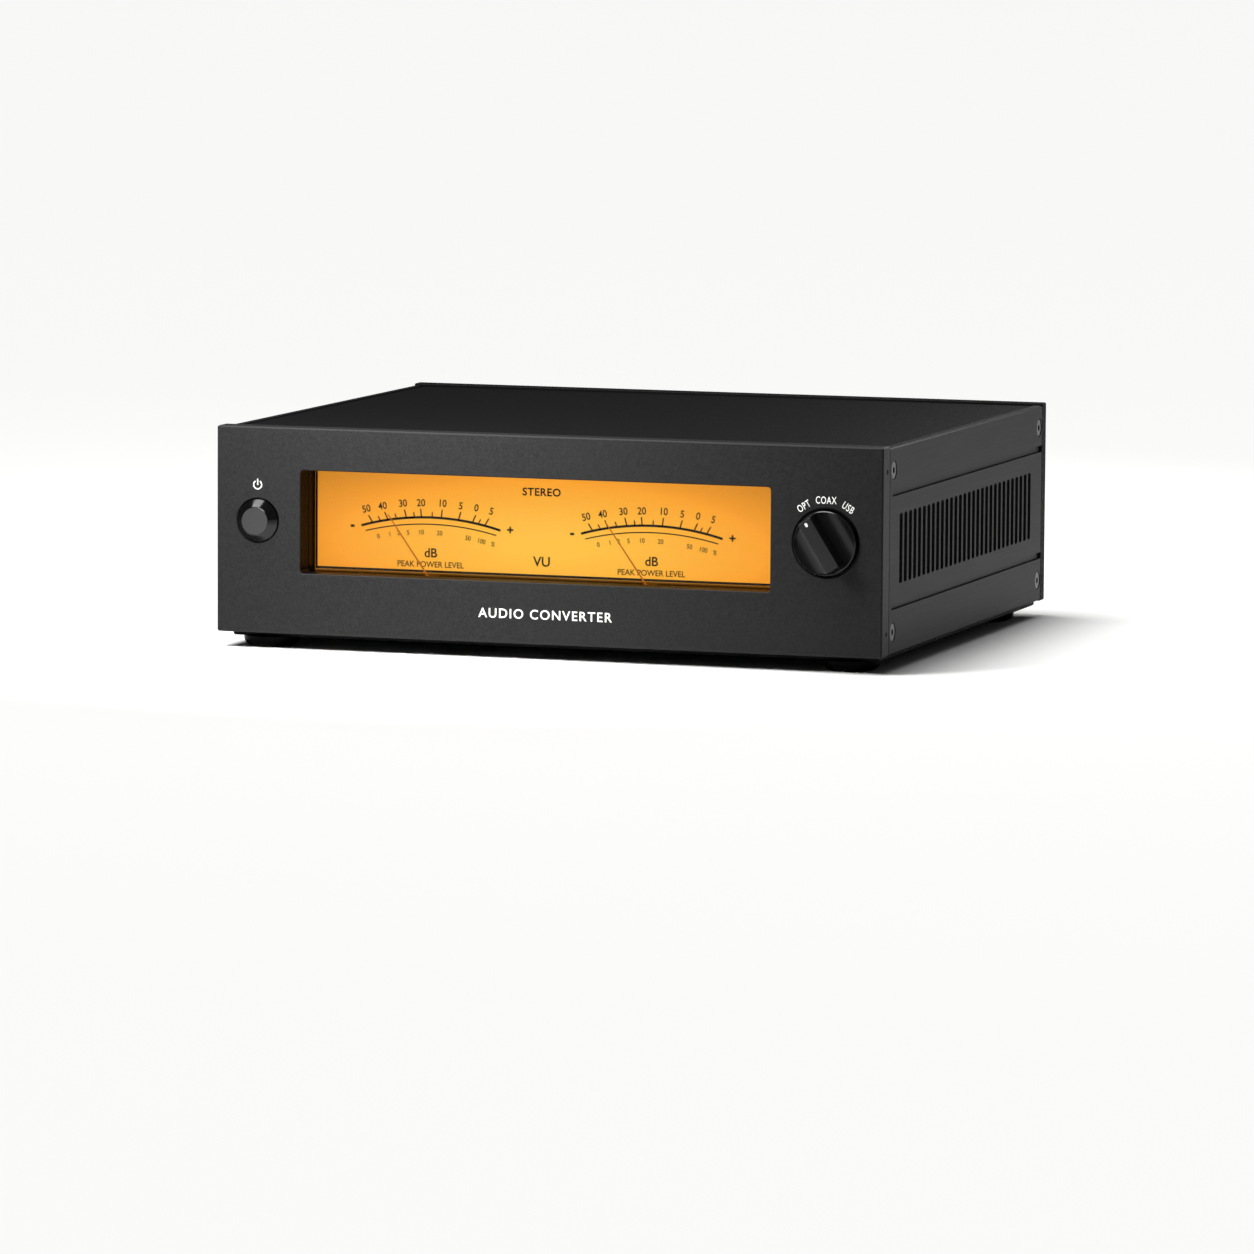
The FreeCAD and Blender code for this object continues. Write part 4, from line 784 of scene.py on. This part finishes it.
def flat_shape(outline, place):
    """A printed shape: an outline across and up in millimetres about a place."""
    mesh = bpy.data.meshes.new("shape")
    shape = bmesh.new()
    face = shape.faces.new([shape.verts.new((x * MM, -INK_THICK * MM / 2, z * MM)) for x, z in outline])
    pushed = bmesh.ops.extrude_face_region(shape, geom=[face])["geom"]
    moved = [v for v in pushed if isinstance(v, bmesh.types.BMVert)]
    bmesh.ops.translate(shape, vec=(0, INK_THICK * MM, 0), verts=moved)
    bmesh.ops.recalc_face_normals(shape, faces=shape.faces)
    bmesh.ops.translate(shape, vec=place, verts=shape.verts)
    shape.to_mesh(mesh)
    shape.free()
    return mesh


def band(radius, width, start, end):
    """A strip along a circle, from start to end degrees, where 0 is up and 90 is right."""
    angles = [math.radians(start + (end - start) * k / ARC_STEPS) for k in range(ARC_STEPS + 1)]
    outer = [((radius + width / 2) * math.sin(a), (radius + width / 2) * math.cos(a)) for a in angles]
    inner = [((radius - width / 2) * math.sin(a), (radius - width / 2) * math.cos(a)) for a in angles]
    return outer + inner[::-1]


def joined(name, meshes):
    """Several meshes as one."""
    shape = bmesh.new()
    for mesh in meshes:
        shape.from_mesh(mesh)
    result = bpy.data.meshes.new(name)
    shape.to_mesh(result)
    shape.free()
    return result


# %% [markdown]
# White print stands in five places on the plate: the power sign over the button, three
# input names on an arc round the knob, and a line of words under the window. The sign is
# drawn as two shapes, a broken ring and a bar in its gap.

# %% White print on the front plate
NAME_RADIUS = 14.9
SIGN_RISE = 12.7
SIGN_RADIUS = 1.5
SIGN_LINE = 0.34
SIGN_GAP = 36
plate_print = [word("AUDIO CONVERTER", 3.2, on_plate(0.0, 10.5, PROUD), spacing=1.18, weight=0.006)]
for name, angle in (("OPT", -32.5), ("COAX", 0.0), ("USB", 32.5)):
    lean = math.radians(angle)
    spot = Vector((NAME_RADIUS * math.sin(lean), 0.0, NAME_RADIUS * math.cos(lean))) * MM
    place = Vector((KNOB_CENTRE.x, PLATE_LOW.y - PROUD * MM, KNOB_CENTRE.z)) + spot
    plate_print.append(word(name, 2.45, place, turn=-angle, spacing=1.12, weight=0.006, narrow=0.68))
power_sign = Vector((BUTTON_CENTRE.x, PLATE_LOW.y - PROUD * MM, BUTTON_CENTRE.z + SIGN_RISE * MM))
plate_print.append(flat_shape(band(SIGN_RADIUS, SIGN_LINE, SIGN_GAP, 360 - SIGN_GAP), power_sign))
half = SIGN_LINE / 2
plate_print.append(flat_shape([(-half, -0.1), (half, -0.1), (half, 2.1), (-half, 2.1)], power_sign))
new_piece("plate_print", joined("plate_print", plate_print), [WHITE_INK], "case")
print("bits of print on the plate:", len(plate_print))

# %% [markdown]
# ## The meters' scales
#
# Both meters share one drawing, repeated a fixed way to the right. A scale is a thick arc
# with tick marks on it, a thin arc below it, and numbers above it. The marks are spread
# unevenly, because the scale is in decibels and the needle moves with power. They are
# points on the arc that carry their own lean and length, and Geometry Nodes puts a bar on
# each. Moving a mark then means changing one number.

# %% Scale sizes
METER_STEP = 81.85
METER_X = -48.3
LONG_MARKS = {
    "50": -70.0, "40": -64.3, "30": -57.4, "20": -51.8, "10": -44.4, "5": -38.0, "0": -32.8, "+5": -28.2,
}
SHORT_MARKS = [-67.1, -61.1, -54.4, -47.8, -30.6]
THICK_END, THICK_TOP, THICK_LINE = (26.0, 37.8), 41.5, 0.85
THIN_END, THIN_TOP, THIN_LINE = (24.4, 36.0), 39.1, 0.42


def arc_through(half, rise_at_end, rise_at_top):
    """Radius, and height of the centre, of the circle over half a width either side."""
    sag = rise_at_top - rise_at_end
    radius = (half ** 2 + sag ** 2) / (2 * sag)
    return radius, rise_at_top - radius


THICK_RADIUS, THICK_LOW = arc_through(*THICK_END, THICK_TOP)
THIN_RADIUS, THIN_LOW = arc_through(*THIN_END, THIN_TOP)
print("thick arc radius", round(THICK_RADIUS, 1), "mm; thin arc radius", round(THIN_RADIUS, 1), "mm")

# %% [markdown]
# The tree for the marks takes the points, a bar's width and depth, and a material. Each
# point's stretch makes its bar as long as that mark.

# %% Geometry Nodes: bars on points
def bars_on_points():
    """Puts a bar one unit long on each point, turned and stretched by the point."""
    tree, given = group("bars on points", {
        "Width": "NodeSocketFloat", "Depth": "NodeSocketFloat", "Material": "NodeSocketMaterial",
    })
    size = add(tree, "ShaderNodeCombineXYZ", {"X": given["Width"], "Y": given["Depth"], "Z": 1.0})
    bar = add(tree, "GeometryNodeMeshCube", {"Size": size})
    put_on_points(tree, given, bar)
    return tree


BARS = bars_on_points()
print("tree nodes:", len(BARS.nodes))

# %% [markdown]
# A mark's foot stands on the arc at its own x, and it leans the way the needle would when
# it points there. So the lean is taken from one point, the same way below every mark.

# %% Tick marks and arcs
PIVOT_BELOW = 33.0


def tick_spots(marks, long, shift):
    """Spots of marks that stand on the thick arc."""
    spots = []
    for x in marks:
        off = x - METER_X
        lean = math.atan2(off, PIVOT_BELOW)
        foot = THICK_LOW + math.sqrt(THICK_RADIUS ** 2 - off ** 2)
        place = on_dial(x + shift + math.sin(lean) * long / 2, foot + math.cos(lean) * long / 2, PROUD)
        spots.append((place, (0, lean, 0), (1, 1, long * MM)))
    return spots


def scale_bars(shift):
    """The long and the short marks of one meter."""
    bars = []
    for marks, long, width in ((LONG_MARKS.values(), 3.0, 0.46), (SHORT_MARKS, 1.9, 0.42)):
        values = {"Width": width * MM, "Depth": INK_THICK * MM, "Material": DIAL_INK}
        bars.append(grow("marks", tick_spots(marks, long, shift), BARS, values))
    return bars


def scale_arcs(shift):
    """The thick and the thin arc of one meter."""
    thick = (THICK_RADIUS, THICK_LOW, THICK_LINE, THICK_END[0])
    thin = (THIN_RADIUS, THIN_LOW, THIN_LINE, THIN_END[0])
    arcs = []
    for radius, low, line, end in (thick, thin):
        half = math.degrees(math.asin(end / radius))
        arcs.append(flat_shape(band(radius, line, -half, half), on_dial(METER_X + shift, low, PROUD)))
    return arcs


print("marks on one scale:", len(LONG_MARKS) + len(SHORT_MARKS))

# %% [markdown]
# The numbers stand over their marks and lean less than the marks do. Small numbers under the
# thin arc count percent. A thin border runs round both meters.

# %% Dial words and border
LEAN_SHARE = 0.55
NUMBERS = [
    ("50", -72.5, 43.8), ("40", -66.4, 45.0), ("30", -58.8, 46.2), ("20", -52.0, 46.6),
    ("10", -44.0, 46.7), ("5", -37.1, 46.0), ("0", -31.3, 45.5), ("5", -25.7, 44.5),
]
PERCENT = [
    ("0", -67.9, 34.2), ("1", -63.6, 35.1), ("2", -60.4, 35.6), ("5", -56.8, 35.9), ("10", -51.9, 36.2),
    ("20", -45.0, 36.1), ("50", -34.4, 34.7), ("100", -29.4, 33.8), ("%", -25.1, 32.9),
]


def scale_words(shift):
    """Every number and word of one meter."""
    words = []
    for row, cap, weight in ((NUMBERS, 2.45, 0.016), (PERCENT, 1.6, 0.012)):
        for text, x, z in row:
            lean = -LEAN_SHARE * math.degrees(math.atan2(x - METER_X, THICK_RADIUS / 2))
            words.append(word(text, cap, on_dial(x + shift, z, PROUD), turn=lean, weight=weight, narrow=0.9))
    words.append(word("-", 3.0, on_dial(-77.6 + shift, 38.1, PROUD), weight=0.05))
    words.append(word("+", 3.0, on_dial(-18.7 + shift, 38.1, PROUD), weight=0.03))
    words.append(word("dB", 3.1, on_dial(METER_X + shift, 29.0, PROUD), weight=0.016))
    words.append(word("PEAK POWER LEVEL", 2.0, on_dial(METER_X - 0.1 + shift, 24.9, PROUD),
                      weight=0.012, narrow=0.95))
    return words


BORDER = 0.85
FRAME_LOW = (-91.2, 22.4)
FRAME_HIGH = (81.9, 57.6)


def border():
    """Four thin rules round the dial."""
    wide, tall = FRAME_HIGH[0] - FRAME_LOW[0], FRAME_HIGH[1] - FRAME_LOW[1]
    half = BORDER / 2
    across = [(-half, -half), (wide + half, -half), (wide + half, half), (-half, half)]
    up = [(-half, half), (half, half), (half, tall - half), (-half, tall - half)]
    return [
        flat_shape(across, on_dial(FRAME_LOW[0], FRAME_LOW[1], PROUD)),
        flat_shape(across, on_dial(FRAME_LOW[0], FRAME_HIGH[1], PROUD)),
        flat_shape(up, on_dial(FRAME_LOW[0], FRAME_LOW[1], PROUD)),
        flat_shape(up, on_dial(FRAME_HIGH[0], FRAME_LOW[1], PROUD)),
    ]


dial_print = border()
for shift in (0.0, METER_STEP):
    dial_print += scale_bars(shift) + scale_arcs(shift) + scale_words(shift)
dial_print.append(word("VU", 3.3, on_dial(-6.9, 27.4, PROUD), weight=0.016))
dial_print.append(word("STEREO", 2.6, on_dial(-7.1, 51.9, PROUD), spacing=1.1, weight=0.025))
new_piece("dial_print", joined("dial_print", dial_print), [DIAL_INK], "case")
print("bits of print on the dial:", len(dial_print))

# %% [markdown]
# ## Rear print
#
# The back names its sockets in the same white ink. Each name stands a little above its
# socket, so its place comes from the socket's own box. R and L stand over or beside the two
# channels. Print on the back is turned half round, or it would read as in a mirror.

# %% Names on the back
def rear_word(words, x, z):
    """A word on the rear pan, read from behind."""
    return word(words, 2.2, Vector((x, REAR_FACE + PROUD * MM, z)), facing=180, spacing=1.08)


def above(name, gap):
    """The middle of a CAD piece across, and a height some millimetres above it."""
    return middle(name).x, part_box(name)[1].z + gap * MM


XLR_APART = 36 * MM
RING_RADIUS = 5.8 * MM
NAME_GAP = 2.6
LETTER_GAP = 2.4 * MM
ring_low, ring_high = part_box("jack_insulators")
line_x, coax_x = ring_high.x - RING_RADIUS, ring_low.x + RING_RADIUS
upper_z, lower_z = ring_high.z - RING_RADIUS, ring_low.z + RING_RADIUS
xlr_x, xlr_z = above("xlr_sockets", 3.2)
rear_print = [
    rear_word("BALANCED OUT", xlr_x, xlr_z + 3.4 * MM),
    rear_word("R", xlr_x + XLR_APART / 2, xlr_z),
    rear_word("L", xlr_x - XLR_APART / 2, xlr_z),
    rear_word("LINE OUT", line_x, upper_z + RING_RADIUS + NAME_GAP * MM),
    rear_word("R", line_x - RING_RADIUS - LETTER_GAP, upper_z),
    rear_word("L", line_x - RING_RADIUS - LETTER_GAP, lower_z),
    rear_word("COAX", coax_x, lower_z + RING_RADIUS + NAME_GAP * MM),
    rear_word("OPTICAL", *above("optical_socket", NAME_GAP)),
    rear_word("USB", *above("usb_socket", NAME_GAP)),
    rear_word("MAINS", *above("rocker_housing", 2.0)),
]
new_piece("rear_print", joined("rear_print", rear_print), [WHITE_INK], "case")
print("words on the back:", len(rear_print))

# %% [markdown]
# ## Camera, floor and light
#
# The box is seen from the right and a little above, with a long lens from almost three
# metres, so its edges stay nearly parallel. The camera is built from a place, a turn about
# the upright, a tilt and a very slight roll.

# %% Camera
EYE = (0.8953, -2.7381, 0.3144)
TURN, TILT, ROLL = 18.195, -6.202, 0.369
lens = bpy.data.cameras.new("camera")
lens.lens = 230.09
lens.sensor_width = 36.0
lens.clip_end = 100.0
camera = bpy.data.objects.new("camera", lens)
bpy.context.scene.collection.objects.link(camera)
aim = Matrix.Rotation(math.radians(TURN), 4, "Z") @ Matrix.Rotation(math.radians(90 + TILT), 4, "X")
camera.matrix_world = Matrix.Translation(EYE) @ aim @ Matrix.Rotation(math.radians(ROLL), 4, "Z")
bpy.context.scene.camera = camera
print("camera looks along", [round(c, 4) for c in camera.matrix_world.to_3x3() @ Vector((0, 0, -1))])

# %% [markdown]
# The floor is a large pale sheet, so it fills the view. A broad sun gives it an even light
# and a soft shadow. A small soft lamp above the front left gives the plate its fall of light
# from left to right, and another behind keeps the back from going black. The sky is pale to
# the camera, but lights the object only dimly, so that the lid stays dark when it is seen at
# a grazing angle.

# %% Floor and lights
floor_mesh = bpy.data.meshes.new("floor")
reach = 40.0
corners = [(-reach, -reach, 0), (reach, -reach, 0), (reach, reach, 0), (-reach, reach, 0)]
floor_mesh.from_pydata(corners, [], [(0, 1, 2, 3)])
floor = bpy.data.objects.new("floor", floor_mesh)
bpy.context.scene.collection.objects.link(floor)
floor_mesh.materials.append(material("pale matt paper", "#F0F0EF", 0.9, Specular_IOR_Level=0.1)[0])


def lamp(name, kind, energy, place, aim_at, **settings):
    """A lamp at a place that points at another, and that the camera doesn't see."""
    light = bpy.data.lights.new(name, kind)
    light.energy = energy
    for key, value in settings.items():
        setattr(light, key, value)
    holder = bpy.data.objects.new(name, light)
    bpy.context.scene.collection.objects.link(holder)
    facing = (Vector(aim_at) - Vector(place)).to_track_quat("-Z", "Y")
    holder.matrix_world = Matrix.Translation(place) @ facing.to_matrix().to_4x4()
    holder.visible_camera = False


lamp("broad sun", "SUN", 3.4, (-0.7, -0.15, 2.6), (0, 0, 0), angle=math.radians(35))
lamp("front left softbox", "AREA", 0.7, (-0.07, -0.26, 0.20), (-0.05, -0.106, 0.085),
     size=0.12, spread=math.radians(110))
lamp("back softbox", "AREA", 0.9, (0.14, 0.46, 0.36), (0.0, 0.08, 0.06), size=0.25)
SKY_LIGHT, SKY_SEEN = 0.07, 0.95
sky = bpy.data.worlds.new("sky")
bpy.context.scene.world = sky
sky.use_nodes = True
sky.node_tree.nodes.clear()
seen = add(sky.node_tree, "ShaderNodeLightPath", out="Is Camera Ray")
power = add(sky.node_tree, "ShaderNodeMapRange", {"Value": seen, "To Min": SKY_LIGHT, "To Max": SKY_SEEN})
glow = add(sky.node_tree, "ShaderNodeBackground", {"Color": linear("#FAFAFA"), "Strength": power})
add(sky.node_tree, "ShaderNodeOutputWorld", {"Surface": glow})
bpy.context.scene.view_settings.view_transform = "Standard"
print("lamps:", len(bpy.data.lights))
